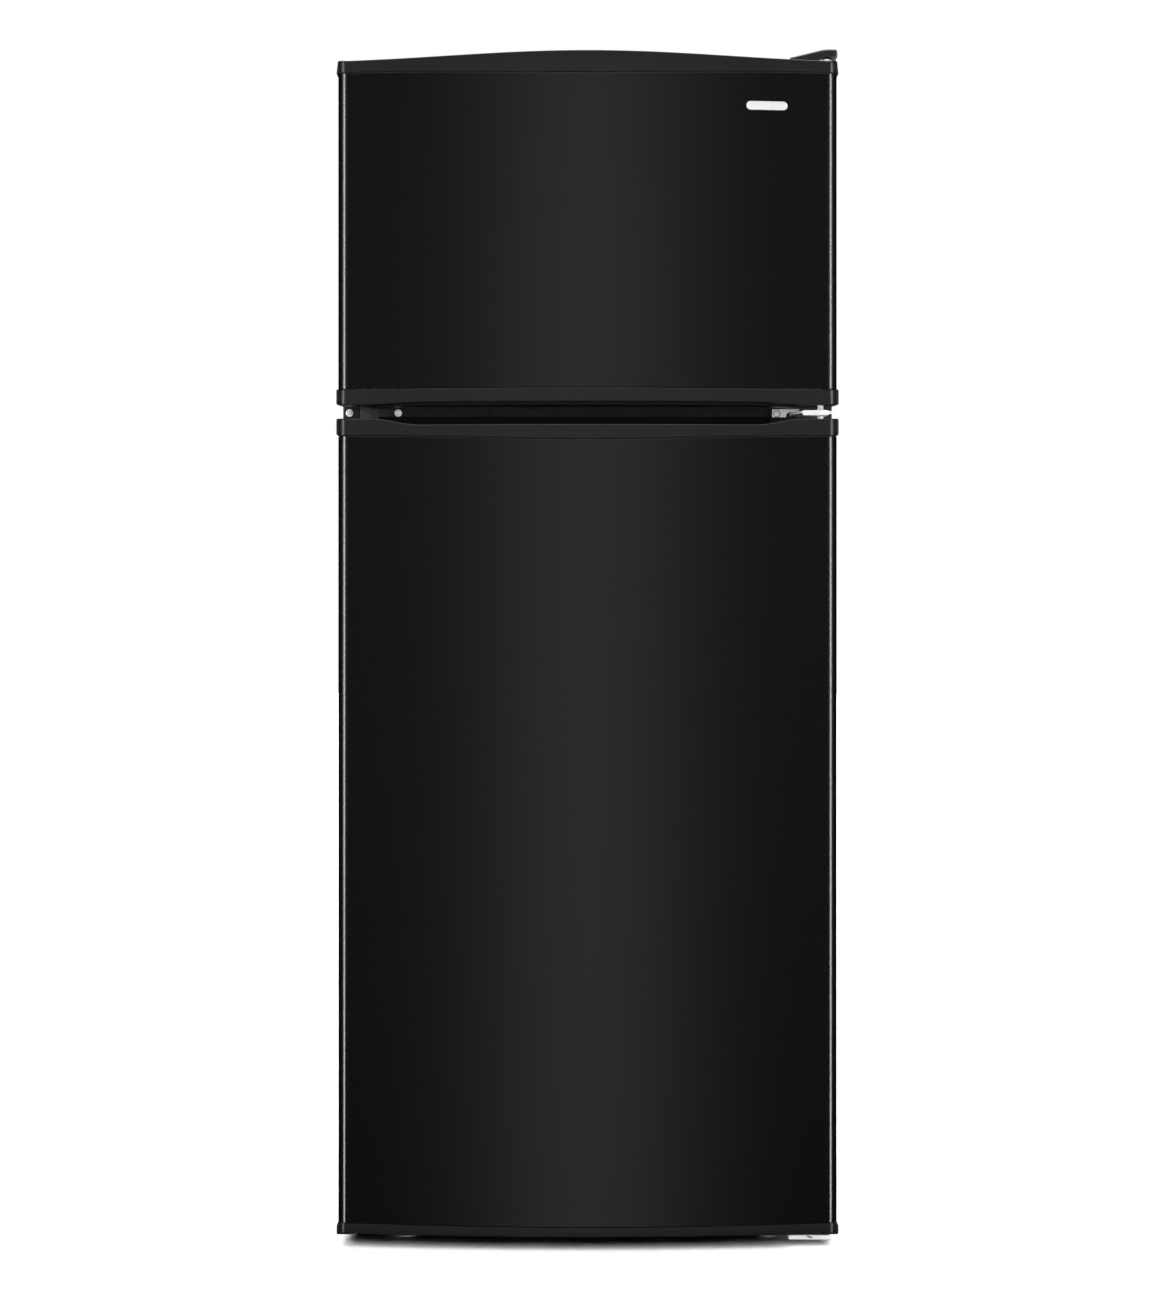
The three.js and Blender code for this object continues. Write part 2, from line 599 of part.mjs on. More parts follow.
// ---------------------------------------------------------------- freezer inside
function freezerInside() {
  const cover = block(-298.5, 298.5, 240, 243, FREEZER_FLOOR + GAP, FREEZER_CEILING - GAP);
  const slots = [];
  for (let i = 0; i < 6; i += 1) slots.push(block(-60, 60, 200, 260, 1488 + i * 12, 1494 + i * 12));
  for (let i = -2; i <= 2; i += 1) slots.push(block(i * 100 - 34, i * 100 + 34, 200, 260, 1240, 1248));
  add("evaporator_cover", cut(cover, ...slots), LINER_PLASTIC);

  const rows = 5;
  const points = [];
  for (let row = 0; row < rows; row += 1) {
    const ends = row % 2 === 0 ? [-220, 220] : [220, -220];
    const level = 1262 + row * 36;
    points.push([ends[0], 282, level], [0, 282, level], [ends[1], 282, level]);
  }
  const finned = [-150, -75, 0, 75, 150].map((x) => block(x - 1, x + 1, 262, 304, 1252, 1416));
  add("evaporator_coil", join(tube(points, 5, 84, 6), ...finned), ALUMINIUM);

  const [x, y, z] = EVAPORATOR_FAN;
  const motor = join(rod("y", [x, y + 34, z], 24, 28, 16), rod("y", [x, y + 13, z], 2.4, 24, 8));
  add("evaporator_fan_motor", motor, GREY_PLASTIC);
  const fan = fanBlades("y", EVAPORATOR_FAN, 52, 14, 4);
  add("evaporator_fan", cut(fan, rod("y", EVAPORATOR_FAN, SHAFT_HOLE, 60, 8)), BLACK_PLASTIC);

  const wires = [];
  for (let i = 0; i <= 12; i += 1) {
    const x = -270 + i * 45;
    wires.push(block(x - 2, x + 2, -148, 228, 1432, 1436));
  }
  const rim = cut(block(-297, 297, -152, 232, 1429.8, 1438), block(-289, 289, -144, 224, 1420, 1450));
  add("freezer_shelf", join(rim, ...wires), BIN_PLASTIC);
}

// ---------------------------------------------------------------- food compartment
function shelf(name, z) {
  const frame = block(-297.5, 297.5, -172, 305, z, z + 14);
  const through = block(-262, 262, -142, 275, z - 1, z + 20);
  const rebate = block(-276, 276, -156, 289, z + 9, z + 20);
  add(`${name}_frame`, cut(frame, through, rebate), BIN_PLASTIC);
  const half = 276 - GAP;
  add(`${name}_glass`, block(-half, half, -156 + GAP, 289 - GAP, z + 9 + GAP, z + 13.5), GLASS);
}

function crispers() {
  const z = 312.5;
  const frame = block(-297.5, 297.5, -178, 316, z, z + 16);
  const through = block(-262, 262, -140, 290, z - 1, z + 30);
  const rebate = block(-280, 280, -128, 304, z + 11, z + 30);
  const divider = join(block(-5, 5, -172, 76, 134, z + 1), block(-14, 14, -172, 76, 302.5, z + 1));
  const slideTrack = block(-40, 40, -182, -172, z + 5, z + 11);
  const vent = block(-30, 30, -175, -150, z + 6, z + 10);
  const divideTrim = block(-5, 5, 60, 120, 120, z);
  const support = cut(join(cut(frame, through, rebate), cut(divider, divideTrim)), slideTrack, vent);
  const bridge = block(-14, 14, -145, 292, z + 0.2, z + 8);
  add("crisper_cover_frame", join(support, bridge), BIN_PLASTIC);
  add(
    "crisper_cover_glass",
    block(-280 + GAP, 280 - GAP, -128 + GAP, 304 - GAP, z + 11 + GAP, z + 15.5), GLASS,
  );
  const slider = block(-10, 10, -177.6, -172.4, z + 5.6, z + 10.4);
  const thumb = block(-4, 4, -182, -177, z + 5.6, z + 10.4);
  add("humidity_slide", join(slider, thumb), GREY_PLASTIC);

  [-1, 1].forEach((s) => {
    const x0 = s < 0 ? -280 : 12;
    const x1 = x0 + 268;
    const bucket = tray(x0, x1, -164, 70, 126, 296, 2.6);
    const panel = block(x0, x1, -169, -163, 124, 299);
    const pull = block(x0 + 30, x1 - 30, -178, -168, 271, 276);
    const lip = block(x0 + 30, x1 - 30, -178, -175, 262, 276);
    add(`${s < 0 ? "left" : "right"}_crisper`, join(bucket, panel, pull, lip), BIN_PLASTIC);
  });
}

function controls() {
  const low = FOOD_CEILING - 32;
  const knobZ = low + 16;
  const housing = tray(-120, 120, -118, 70, low, FOOD_CEILING - GAP, 2.5);
  const knobBore = rod("y", [-60, -118, knobZ], 4, 30, 12);
  const bulbHole = rod("z", [60, 0, low], 11, 20, 16);
  add("control_housing", cut(housing, knobBore, bulbHole), BIN_PLASTIC);
  const knob = join(
    rod("y", [-60, -124.5, knobZ], 13, 12, 20),
    block(-61.5, -58.5, -134, -124, knobZ - 12, knobZ + 12),
    rod("y", [-60, -114, knobZ], 3.4, 16, 10),
  );
  add("temperature_knob", knob, GREY_PLASTIC);
  const glass = [[0, -42], [12, -40], [19, -32], [21, -22], [17, -10], [10.4, 0], [10.4, 18], [0, 18]];
  const bulb = turned(glass, [60, 0, low - 10], 14);
  add("light_bulb", bulb, GLASS);
  const stem = block(-310.5, -305.5, -297.6, -270, SWITCH_Z - 2.5, SWITCH_Z + 2.5);
  const collar = block(-314, -303, -280, -274, SWITCH_Z - 6, SWITCH_Z + 6);
  add("light_switch", join(stem, collar), BLACK_PLASTIC);
}

// ---------------------------------------------------------------- doors
function bin(name, z0, z1, binFront) {
  const back = DOOR_BACK + GAP + LINER + GAP;
  const box = tray(-BIN_HALF, BIN_HALF, back, binFront, z0, z1, 2.6);
  const lowBack = block(-BIN_HALF + 30, BIN_HALF - 30, back - 1, back + 4, z0 + 40, z1 + 5);
  const rim = cut(
    block(-BIN_HALF, BIN_HALF, back + 6, binFront + 2, z1 - 8, z1),
    block(-BIN_HALF + 5, BIN_HALF - 5, back - 1, binFront - 3, z1 - 20, z1 + 5),
  );
  add(name, cut(join(box, rim), lowBack), BIN_PLASTIC);
}

// bowed cap body between two lines across the door
function capBody(low, high, faceInset) {
  const body = plan(doorPlan(FACE_HALF, faceInset, DOOR_BACK - GAP), 0, 1750);
  return body.intersect(between(low, high));
}

function freezerDoor() {
  doorShell("freezer_door", FREEZER_SEAM, TOP_SEAM, 1243, 1619);
  add("freezer_door_liner", doorLiner(1208, 1668, 1243, 1619), LINER_PLASTIC);
  gasket("freezer_door_gasket", 1212, 1648);
  bin("freezer_door_bin", 1290, 1370, BIN_BACK);

  const top = capBody((x) => line(TOP_SEAM, x), (x) => line(TOP_CAP_HIGH, x), 0);
  const topTabs = tabs(END_HALF, TOP_SEAM.end, TOP_CAP_HIGH.end - 0.6);
  add("freezer_top_cap", cut(join(top, ...topTabs), hingeHole(1650, 1700)), CAP_PLASTIC);

  const grab = capBody((x) => grip(FREEZER_GRIP, x), (x) => line(FREEZER_SEAM, x), 0);
  const scoop = plan(scoopPlan(), 1180, 1211);
  const grabTabs = tabs(TAB_HALF, 1193, 1213.5);
  add("freezer_handle_cap", cut(join(cut(grab, scoop), ...grabTabs), hingeHole(1180, 1213)), CAP_PLASTIC);

  const badgeX = 252;
  const badgeFace = bow(badgeX, 0);
  const plate = plan(
    [
      [badgeX - 29, bow(badgeX - 29, 0) - GAP],
      [badgeX + 29, bow(badgeX + 29, 0) - GAP],
      [badgeX + 29, bow(badgeX + 29, 0) - GAP - 1.6],
      [badgeX, badgeFace - GAP - 2],
      [badgeX - 29, bow(badgeX - 29, 0) - GAP - 1.6],
    ],
    1607, 1619,
  );
  add("badge", plate, BADGE_METAL);
}

// finger scoop behind a grip's front wall
function scoopPlan() {
  const wall = 9;
  const deep = 48;
  const half = 296;
  const points = [];
  for (let i = 0; i <= 10; i += 1) {
    const x = -half + (2 * half * i) / 10;
    points.push([x, bow(x, wall)]);
  }
  for (let i = 10; i >= 0; i -= 1) {
    const x = -half + (2 * half * i) / 10;
    points.push([x, bow(x, deep)]);
  }
  return points;
}

function foodDoor() {
  const ridgeLow = 128;
  const ridgeHigh = 1122;
  doorShell("food_door", BOTTOM_SEAM, FOOD_SEAM, ridgeLow, ridgeHigh);
  const liner = doorLiner(44, 1146, ridgeLow, ridgeHigh);
  const shelfLow = 985;
  const pocketBack = DOOR_BACK + LINER;
  const dairyFloor = block(-POCKET - 1, POCKET + 1, pocketBack, -206, shelfLow, shelfLow + 4);
  const dairyEnds = [-1, 1].map((s) => {
    const ends = [s * 233, s * 237];
    return block(Math.min(...ends), Math.max(...ends), pocketBack, -206, shelfLow, shelfLow + 103);
  });
  add("food_door_liner", join(liner, dairyFloor, ...dairyEnds), LINER_PLASTIC);
  gasket("food_door_gasket", 88, 1142);
  bin("gallon_bin", 172, 292, BIN_BACK);
  bin("middle_bin", 560, 650, BIN_BACK);

  const lidOuter = [[-202, 989], [-202, 1068], [-210, 1083], [-226, 1090], [-252, 1092]];
  const lidInner = [[-252, 1089.5], [-227, 1087.4], [-211.6, 1081], [-204.5, 1067.5], [-204.5, 989]];
  add("dairy_lid", side([...lidOuter, ...lidInner], -231, 231), BIN_PLASTIC);

  const grab = capBody((x) => line(FOOD_SEAM, x), (x) => grip(FOOD_GRIP, x), 0);
  const scoop = plan(scoopPlan(), 1154, 1190);
  const grabTabs = tabs(TAB_HALF, 1152, 1172.5);
  add("food_handle_cap", cut(join(cut(grab, scoop), ...grabTabs), hingeHole(1153, 1190)), CAP_PLASTIC);

  const sill = capBody((x) => line(BOTTOM_CAP_LOW, x), (x) => line(BOTTOM_SEAM, x), 0);
  const sillTabs = tabs(END_HALF, 28, 50).map((tab) => tab.intersect(block(-400, 400, -400, 0, 0, 41)));
  add("food_bottom_cap", cut(join(sill, ...sillTabs), hingeHole(0, 39)), CAP_PLASTIC);
}

cabinet();
liners();
rail();
hinges();
base();
machineBay();
freezerInside();
shelf("upper_shelf", 790.5);
shelf("lower_shelf", 550.5);
crispers();
controls();
freezerDoor();
foodDoor();

export default refrigerator;
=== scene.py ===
# Looks of the top-freezer refrigerator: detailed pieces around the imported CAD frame.
# Shapes are worked out in millimetres in the CAD's axes and scaled to metres as each piece is placed.
# +Z is up, the doors face -Y and hinge at +X.
import json
import math

import bmesh
import bpy
from mathutils import Matrix, Vector


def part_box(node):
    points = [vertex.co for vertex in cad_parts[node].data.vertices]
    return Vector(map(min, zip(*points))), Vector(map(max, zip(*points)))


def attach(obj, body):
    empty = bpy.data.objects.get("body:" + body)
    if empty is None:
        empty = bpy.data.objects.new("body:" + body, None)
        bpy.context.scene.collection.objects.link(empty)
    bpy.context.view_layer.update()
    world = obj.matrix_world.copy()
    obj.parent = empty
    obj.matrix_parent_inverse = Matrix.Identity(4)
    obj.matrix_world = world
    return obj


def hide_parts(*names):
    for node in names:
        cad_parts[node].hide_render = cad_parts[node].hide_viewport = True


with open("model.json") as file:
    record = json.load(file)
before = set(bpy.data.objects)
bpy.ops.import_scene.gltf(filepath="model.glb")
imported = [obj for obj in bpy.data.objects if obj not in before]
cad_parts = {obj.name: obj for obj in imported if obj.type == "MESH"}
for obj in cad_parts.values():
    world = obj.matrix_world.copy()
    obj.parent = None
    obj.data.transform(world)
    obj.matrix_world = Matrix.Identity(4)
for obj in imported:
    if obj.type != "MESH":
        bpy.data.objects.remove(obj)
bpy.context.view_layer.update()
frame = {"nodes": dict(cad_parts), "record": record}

MM = 0.001


def node_box(node):
    """Lowest and highest corner of a CAD node, in millimetres."""
    low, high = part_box(node)
    return low / MM, high / MM


def node_centre(node):
    low, high = node_box(node)
    return (low + high) / 2


# ------------------------------------------------------------------ driving values
SKIN_LOW, SKIN_HIGH = node_box("food_door_skin")
CASE_LOW, CASE_HIGH = node_box("cabinet_wrapper")
HALF = SKIN_HIGH.x  # half width of the cabinet and of the door skins
APEX = SKIN_LOW.y  # front of the bowed doors in the middle
DOOR_BACK = SKIN_HIGH.y
CABINET_FRONT = CASE_LOW.y
CABINET_BACK = CASE_HIGH.y
CABINET_TOP = CASE_HIGH.z
BOW = 24  # how far the middle of a door stands in front of its side edges
CORNER = 17  # radius of the doors' vertical front edges
DOOR_HALF = HALF + 1  # the painted sheets
FACE_HALF = 351.4  # half width of a cap's front face
CAP_CORNER = 12.5
SHEET = 1  # steel
SEAM = 0.8  # the sheet's ends stand back this far from the seam lines
LINER = 2.5  # formed plastic
GAP = 0.3  # between parts that touch
FLANGE_IN = 327.7  # inner edge of the cabinet's front flange, from the middle
HINGE_X, HINGE_Y = 331, -330
NOTCH = 335.5  # the hinge cover's front is cut away from here to the side, over the hinge's knuckle

ROOM = 300  # half width inside both compartments
ROOM_BACK = 320
FOOD_ROOM = (120, 1130)  # floor and ceiling
FREEZER_ROOM = (1232, 1630)
HUMP_FRONT, HUMP_SLOPE, HUMP_TOP = 80, 30, 310  # step over the machine bay

RIDGE = 271  # outer half width of the ridge on a door liner
RIDGE_WALL = 35
RIDGE_BACK = -255

# heights of the lines across the doors, at a door's ends and in its middle
LINES = {
    "bottom_low": (26.5, 26.0),
    "bottom_seam": (41.2, 39.8),
    "food_seam": (1150.4, 1144.2),
    "food_grip": (1174.3, 1165.0),
    "freezer_grip": (1193.7, 1196.8),
    "freezer_seam": (1215.6, 1216.6),
    "top_seam": (1661.7, 1658.1),
    "top_high": (1678.7, 1688.8),
}
GRIP_INNER, GRIP_OUTER = 236, 307  # the S-shaped step of a grip's edge, from the middle
UNDER_RISE = 3.4  # of the freezer handle cap's underside towards the back, at its ends

FOOD_RIDGE, FREEZER_RIDGE = (128, 1122), (1243, 1619)  # their lower and upper ends

CAMERA_DISTANCE = 3.5  # metres, from the doors' side edges
CAMERA_HEIGHT = 0.8556
LENS = 69.31
FRONT_PANELS = [(0.9, 6.7), (2.0, 12.6), (3.4, 9.0)]  # width in metres and power
STRIP_POWER, TOP_POWER = 290, 220
FRONT_FILL, SIDE_FILL = 230, 120


# ------------------------------------------------------------------ camera, light and floor
def new_collection(name):
    collection = bpy.data.collections.new(name)
    bpy.context.scene.collection.children.link(collection)
    return collection


CASE = new_collection("case_pieces")  # pieces that the lamps beside and behind the cabinet light
GROUND = new_collection("ground")
NOT_GROUND = bpy.data.collections.new("not_ground")  # as a lamp's receivers: all but the floor
NOT_GROUND.children.link(GROUND)
NOT_GROUND.collection_children[0].light_linking.link_state = "EXCLUDE"


def make_camera():
    data = bpy.data.cameras.new("camera")
    data.lens = LENS
    data.sensor_width = 36
    camera = bpy.data.objects.new("camera", data)
    camera.location = (0, (APEX + BOW) * MM - CAMERA_DISTANCE, CAMERA_HEIGHT)
    camera.rotation_euler = (math.radians(90), 0, 0)
    bpy.context.scene.collection.objects.link(camera)
    bpy.context.scene.camera = camera


def make_world():
    """White backdrop, which neither lights nor shows in anything."""
    world = bpy.data.worlds.new("studio")
    world.use_nodes = True
    background = world.node_tree.nodes["Background"]
    background.inputs["Color"].default_value = (1, 1, 1, 1)
    background.inputs["Strength"].default_value = 1.0
    world.cycles_visibility.glossy = False
    world.cycles_visibility.diffuse = False
    bpy.context.scene.world = world
    bpy.context.scene.view_settings.view_transform = "Standard"


def add_lamp(light, place, target, only=None):
    lamp = bpy.data.objects.new(light.name, light)
    lamp.location = place
    lamp.rotation_euler = (Vector(target) - Vector(place)).to_track_quat("-Z", "Y").to_euler()
    lamp.visible_camera = False
    if only:
        lamp.light_linking.receiver_collection = only
    bpy.context.scene.collection.objects.link(lamp)
    return lamp


def add_area(name, place, target, size, power, only=None):
    """Rectangular lamp, in metres, seen in reflections only. With only, it lights just that collection."""
    light = bpy.data.lights.new(name, "AREA")
    light.shape = "RECTANGLE"
    light.size, light.size_y = size
    light.energy = power
    lamp = add_lamp(light, place, target, only)
    lamp.visible_diffuse = False
    return lamp


def add_fill(name, place, size, power):
    """Rectangular lamp that lights matt surfaces, but not the floor, and shows in no reflection."""
    lamp = add_area(name, place, (0, 0, 0.9), size, power, only=NOT_GROUND)
    lamp.visible_diffuse = True
    lamp.visible_glossy = False


def add_sun(name, place, spread, power):
    """Soft distant lamp on the floor alone, whose spread is in degrees."""
    light = bpy.data.lights.new(name, "SUN")
    light.angle = math.radians(spread)
    light.energy = power
    add_lamp(light, place, (0, 0, 0), GROUND)


def make_lights():
    # panels behind the camera, whose sum falls off smoothly to the sides
    for index, (width, power) in enumerate(FRONT_PANELS):
        add_area(f"front_panel_{index}", (0, -6.6 - 0.05 * index, 0.86), (0, -0.3, 0.86), (width, 7.0), power)
    for side in (-1, 1):
        target = (side * 0.35, -0.36, 0.9)
        add_area(f"edge_strip_{side}", (side * 3.9, -2.75, 0.9), target, (0.58, 5.6), STRIP_POWER)
        place = (side * 4.2, 1.6, 1.4)
        add_area(f"side_panel_{side}", place, (0, 0.1, 0.9), (2.4, 2.6), 60, only=CASE)
        add_fill(f"side_fill_{side}", (side * 5.0, 0.6, 2.4), (4, 4), SIDE_FILL)
    add_area("top_panel", (0, -0.6, 4.6), (0, -0.4, 1.0), (3.2, 2.4), TOP_POWER)
    add_area("rear_panel", (0, 4.6, 1.6), (0, 0.3, 0.9), (3.4, 2.6), 90, only=CASE)
    add_fill("front_fill", (0, -6.0, 1.5), (5, 2.6), FRONT_FILL)
    add_fill("rear_fill", (0, 5.0, 2.4), (5, 3), SIDE_FILL)
    add_fill("top_fill", (0, -0.2, 5.0), (4, 4), SIDE_FILL)
    # the first clears the floor up to the shadow under the doors, the second lights it behind the cabinet
    add_sun("floor_sun_front", (0, -1.0, 0.6), 28, 6.5)
    add_sun("floor_sun_rear", (0, 0.5, 0.866), 60, 4.6)


def make_floor(look):
    reach = 40
    bm = bmesh.new()
    corners = [(-reach, -reach, 0), (reach, -reach, 0), (reach, reach, 0), (-reach, reach, 0)]
    bm.faces.new([bm.verts.new(corner) for corner in corners])
    mesh = bpy.data.meshes.new("floor")
    bm.to_mesh(mesh)
    bm.free()
    mesh.materials.append(look)
    floor = bpy.data.objects.new("floor", mesh)
    floor.visible_glossy = False
    GROUND.objects.link(floor)


# ------------------------------------------------------------------ materials
def surface(
    name, color, roughness, metallic=0.0, grain=900.0, bump=0.1, depth=0.0002, tint=0.08,
    rough_spread=0.05, transmission=0.0, specular=0.5, stretch=(1, 1, 1), cells=False,
):
    """Moulded, painted or rolled surface: fine grain, soft colour drift and uneven gloss. With pebble cells
    the colour darkens in the relief's hollows, which is painted shade.
    """
    material = bpy.data.materials.new(name)
    material.use_nodes = True
    nodes, links = material.node_tree.nodes, material.node_tree.links
    shader = nodes["Principled BSDF"]
    shader.inputs["Metallic"].default_value = metallic
    shader.inputs["Transmission Weight"].default_value = transmission
    shader.inputs["Specular IOR Level"].default_value = specular
    place = nodes.new("ShaderNodeTexCoord")
    mapping = nodes.new("ShaderNodeMapping")
    mapping.inputs["Scale"].default_value = stretch
    links.new(place.outputs["Object"], mapping.inputs["Vector"])

    def texture(kind, scale, detail=2.0):
        node = nodes.new(kind)
        node.inputs["Scale"].default_value = scale
        node.inputs["Detail"].default_value = detail
        links.new(mapping.outputs["Vector"], node.inputs["Vector"])
        return node

    shades = nodes.new("ShaderNodeMix")
    shades.data_type = "RGBA"
    colors = [socket for socket in shades.inputs if socket.type == "RGBA"]
    for socket, share in zip(colors, (1 - tint, 1 + tint)):
        socket.default_value = (*[min(1, c * share) for c in color], 1)
    if cells:
        pebbles = texture("ShaderNodeTexVoronoi", grain, 1.0)
        pebbles.feature = "SMOOTH_F1"
        relief = pebbles.outputs["Distance"]
        # painted shade: the colour follows the relief, darker in its hollows and lighter on its ridges
        links.new(relief, shades.inputs["Factor"])
    else:
        relief = texture("ShaderNodeTexNoise", grain).outputs["Fac"]
        links.new(texture("ShaderNodeTexNoise", 14.0, 4.0).outputs["Fac"], shades.inputs["Factor"])
    mixed = next(socket for socket in shades.outputs if socket.type == "RGBA")
    links.new(mixed, shader.inputs["Base Color"])

    spread = nodes.new("ShaderNodeMapRange")
    spread.inputs["To Min"].default_value = max(0.02, roughness - rough_spread)
    spread.inputs["To Max"].default_value = min(1, roughness + rough_spread)
    links.new(texture("ShaderNodeTexNoise", 60.0, 4.0).outputs["Fac"], spread.inputs["Value"])
    links.new(spread.outputs["Result"], shader.inputs["Roughness"])

    height = nodes.new("ShaderNodeBump")
    height.inputs["Strength"].default_value = bump
    height.inputs["Distance"].default_value = depth
    links.new(relief, height.inputs["Height"])
    links.new(height.outputs["Normal"], shader.inputs["Normal"])
    return material


def make_looks():
    """Every look: its slot and its material."""
    steel = {"metallic": 1.0, "bump": 0.2, "tint": 0.12}
    clear = {"tint": 0.02, "bump": 0.03}
    pebbled_with_hollow_shade = {"cells": True, "grain": 120, "bump": 0.9, "depth": 0.0006}
    rows = [
        # look, slot, colour, roughness and what else differs from a plain surface
        ("door", "door_paint", (0.0015, 0.0015, 0.0016), 0.25,
         {"grain": 240, "bump": 0.005, "depth": 0.0001, "rough_spread": 0.012, "tint": 0.15}),
        # the cabinet's pebble cells carry a faint painted shade in their hollows
        ("case", "cabinet_paint", (0.006, 0.006, 0.0062), 0.42,
         {"grain": 420, "bump": 0.3, "depth": 0.0004, "cells": True}),
        # strong tint: the rail's pebble hollows are painted dark as shade
        ("rail", "cabinet_paint", (0.0062, 0.0062, 0.0064), 0.5, {"tint": 0.7, "specular": 0.25, **pebbled_with_hollow_shade}),
        ("cap", "cap_plastic", (0.0066, 0.0066, 0.0068), 0.36,
         {"grain": 1400, "bump": 0.12, "rough_spread": 0.03, "specular": 0.3}),
        ("cover", "cap_plastic", (0.002, 0.002, 0.0021), 0.45, {"grain": 1200, "bump": 0.2}),
        ("frame", "frame_paint", (0.012, 0.012, 0.013), 0.5, {"grain": 500, "bump": 0.2}),
        ("plated", "plated_steel", (0.8, 0.8, 0.78), 0.34, {"metallic": 0.25, "grain": 420, "bump": 0.2}),
        ("liner", "liner_plastic", (0.62, 0.62, 0.605), 0.32, {"grain": 500, "bump": 0.06, "tint": 0.02}),
        ("bin", "bin_plastic", (0.9, 0.93, 0.95), 0.12, {"grain": 300, "transmission": 0.82, **clear}),
        ("trim", "bin_plastic", (0.6, 0.6, 0.592), 0.35, {"grain": 700, "bump": 0.08, "tint": 0.02}),
        ("glass", "shelf_glass", (0.82, 0.93, 0.89), 0.05,
         {"grain": 20, "transmission": 0.97, "rough_spread": 0.02, **clear}),
        ("bulb", "bulb_glass", (0.93, 0.92, 0.88), 0.4, {"transmission": 0.5, **clear}),
        ("foam", "foam", (0.72, 0.6, 0.3), 0.9, {"grain": 700, "bump": 0.8, "depth": 0.001, "tint": 0.2}),
        # black seal vinyl, made darker still so that the food door's flap over the scoop shows as painted
        # shade
        ("gasket", "gasket_vinyl", (0.002, 0.002, 0.0021), 0.65,
         {"grain": 800, "bump": 0.15, "specular": 0.1}),
        ("aluminium", "aluminium", (0.6, 0.61, 0.62), 0.38, {**steel, "grain": 60, "stretch": (60, 1, 60)}),
        ("copper", "copper", (0.6, 0.28, 0.14), 0.35, {**steel, "grain": 120, "tint": 0.25}),
        ("plastic", "black_plastic", (0.012, 0.012, 0.012), 0.55, {"grain": 1100, "bump": 0.25}),
        ("iron", "compressor_iron", (0.01, 0.01, 0.011), 0.38, {"grain": 200, "bump": 0.2}),
        ("grey", "grey_plastic", (0.3, 0.31, 0.32), 0.45, {"bump": 0.15}),
        ("badge", "badge_metal", (0.72, 0.72, 0.73), 0.3,
         {"metallic": 0.4, "grain": 60, "stretch": (1, 60, 60), "bump": 0.2, "rough_spread": 0.1}),
        ("floor", None, (0.93, 0.93, 0.93), 0.85,
         {"grain": 40, "bump": 0.02, "tint": 0.005, "specular": 0.0}),
    ]
    return {look: (slot, surface(look, *plain, **other)) for look, slot, *plain, other in rows}


LOOKS = make_looks()


def dress_nodes():
    """Gives each CAD node the first look of its slot."""
    for part in frame["record"]["subparts"]:
        look = next(material for slot, material in LOOKS.values() if slot == part["material_slot"])
        for material_slot in frame["nodes"][part["node"]].material_slots:
            material_slot.material = look


# ------------------------------------------------------------------ mesh helpers
BODY_OF = {node: body for body, nodes in frame["record"]["behaviour"]["bodies"].items() for node in nodes}


def place_piece(
    name, bm, look, node=None, body="cabinet", bevel=0.0, sharp=40.0, thickness=0.0, case=False,
):
    """Turns a mesh in millimetres into an object in metres that rides on a body, which is the node's own
    where it stands for a CAD node. A thickness makes walls of a surface, inwards where it is negative."""
    bmesh.ops.recalc_face_normals(bm, faces=bm.faces)
    bmesh.ops.scale(bm, vec=(MM, MM, MM), verts=bm.verts)
    mesh = bpy.data.meshes.new(name)
    bm.to_mesh(mesh)
    bm.free()
    piece = bpy.data.objects.new(name, mesh)
    (CASE if case else bpy.context.scene.collection).objects.link(piece)
    look_slot, material = LOOKS[look]
    mesh.materials.append(material)
    mesh.shade_smooth()
    mesh.set_sharp_from_angle(angle=math.radians(sharp))
    if thickness:
        wall = piece.modifiers.new("wall", "SOLIDIFY")
        wall.thickness = abs(thickness) * MM
        wall.offset = math.copysign(1, thickness)
        wall.use_even_offset = True
    if bevel:
        edges = piece.modifiers.new("edges", "BEVEL")
        edges.width = bevel * MM
        edges.segments = 2
        edges.limit_method = "ANGLE"
        edges.angle_limit = math.radians(sharp)
        edges.harden_normals = True
    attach(piece, BODY_OF.get(node, body))
    if node:
        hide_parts(node)


def refine(node, look, bevel):
    """Copy of a CAD node with clean faces and rounded edges, which stands for the node."""
    bm = bmesh.new()
    bm.from_mesh(frame["nodes"][node].data)
    bmesh.ops.remove_doubles(bm, verts=bm.verts, dist=0.02 * MM)
    flat = math.radians(2)
    bmesh.ops.dissolve_limit(bm, angle_limit=flat, verts=bm.verts, edges=bm.edges, delimit={"NORMAL"})
    bmesh.ops.scale(bm, vec=(1 / MM, 1 / MM, 1 / MM), verts=bm.verts)
    place_piece(f"{node}_shape", bm, look, node, bevel=bevel)


def add_grid(bm, rows, wrap_rows=False, wrap_columns=False, cap_rows=False, cap_columns=False):
    """Faces between rows of points. Either direction may close on itself, and open ends may be capped."""
    grid = [[bm.verts.new(point) for point in row] for row in rows]
    height, width = len(grid), len(grid[0])
    for i in range(height if wrap_rows else height - 1):
        lower, upper = grid[i], grid[(i + 1) % height]
        for j in range(width if wrap_columns else width - 1):
            k = (j + 1) % width
            bm.faces.new((lower[j], lower[k], upper[k], upper[j]))
    if cap_rows:
        bm.faces.new(grid[0])
        bm.faces.new(grid[-1])
    if cap_columns:
        bm.faces.new([row[0] for row in grid])
        bm.faces.new([row[-1] for row in grid])


def add_loft(bm, rows):
    """Closed body through rings of points, with a face over its first and its last ring."""
    add_grid(bm, rows, wrap_columns=True, cap_rows=True)


def add_cup(bm, rows):
    """Surface through rings of points, with a face over the last ring."""
    add_grid(bm, rows, wrap_columns=True)
    bm.verts.ensure_lookup_table()
    bm.faces.new(bm.verts[-len(rows[-1]):])


def add_band(bm, rows):
    """Closed ring-shaped body, whose rows of points run round it."""
    add_grid(bm, rows, wrap_rows=True, wrap_columns=True)


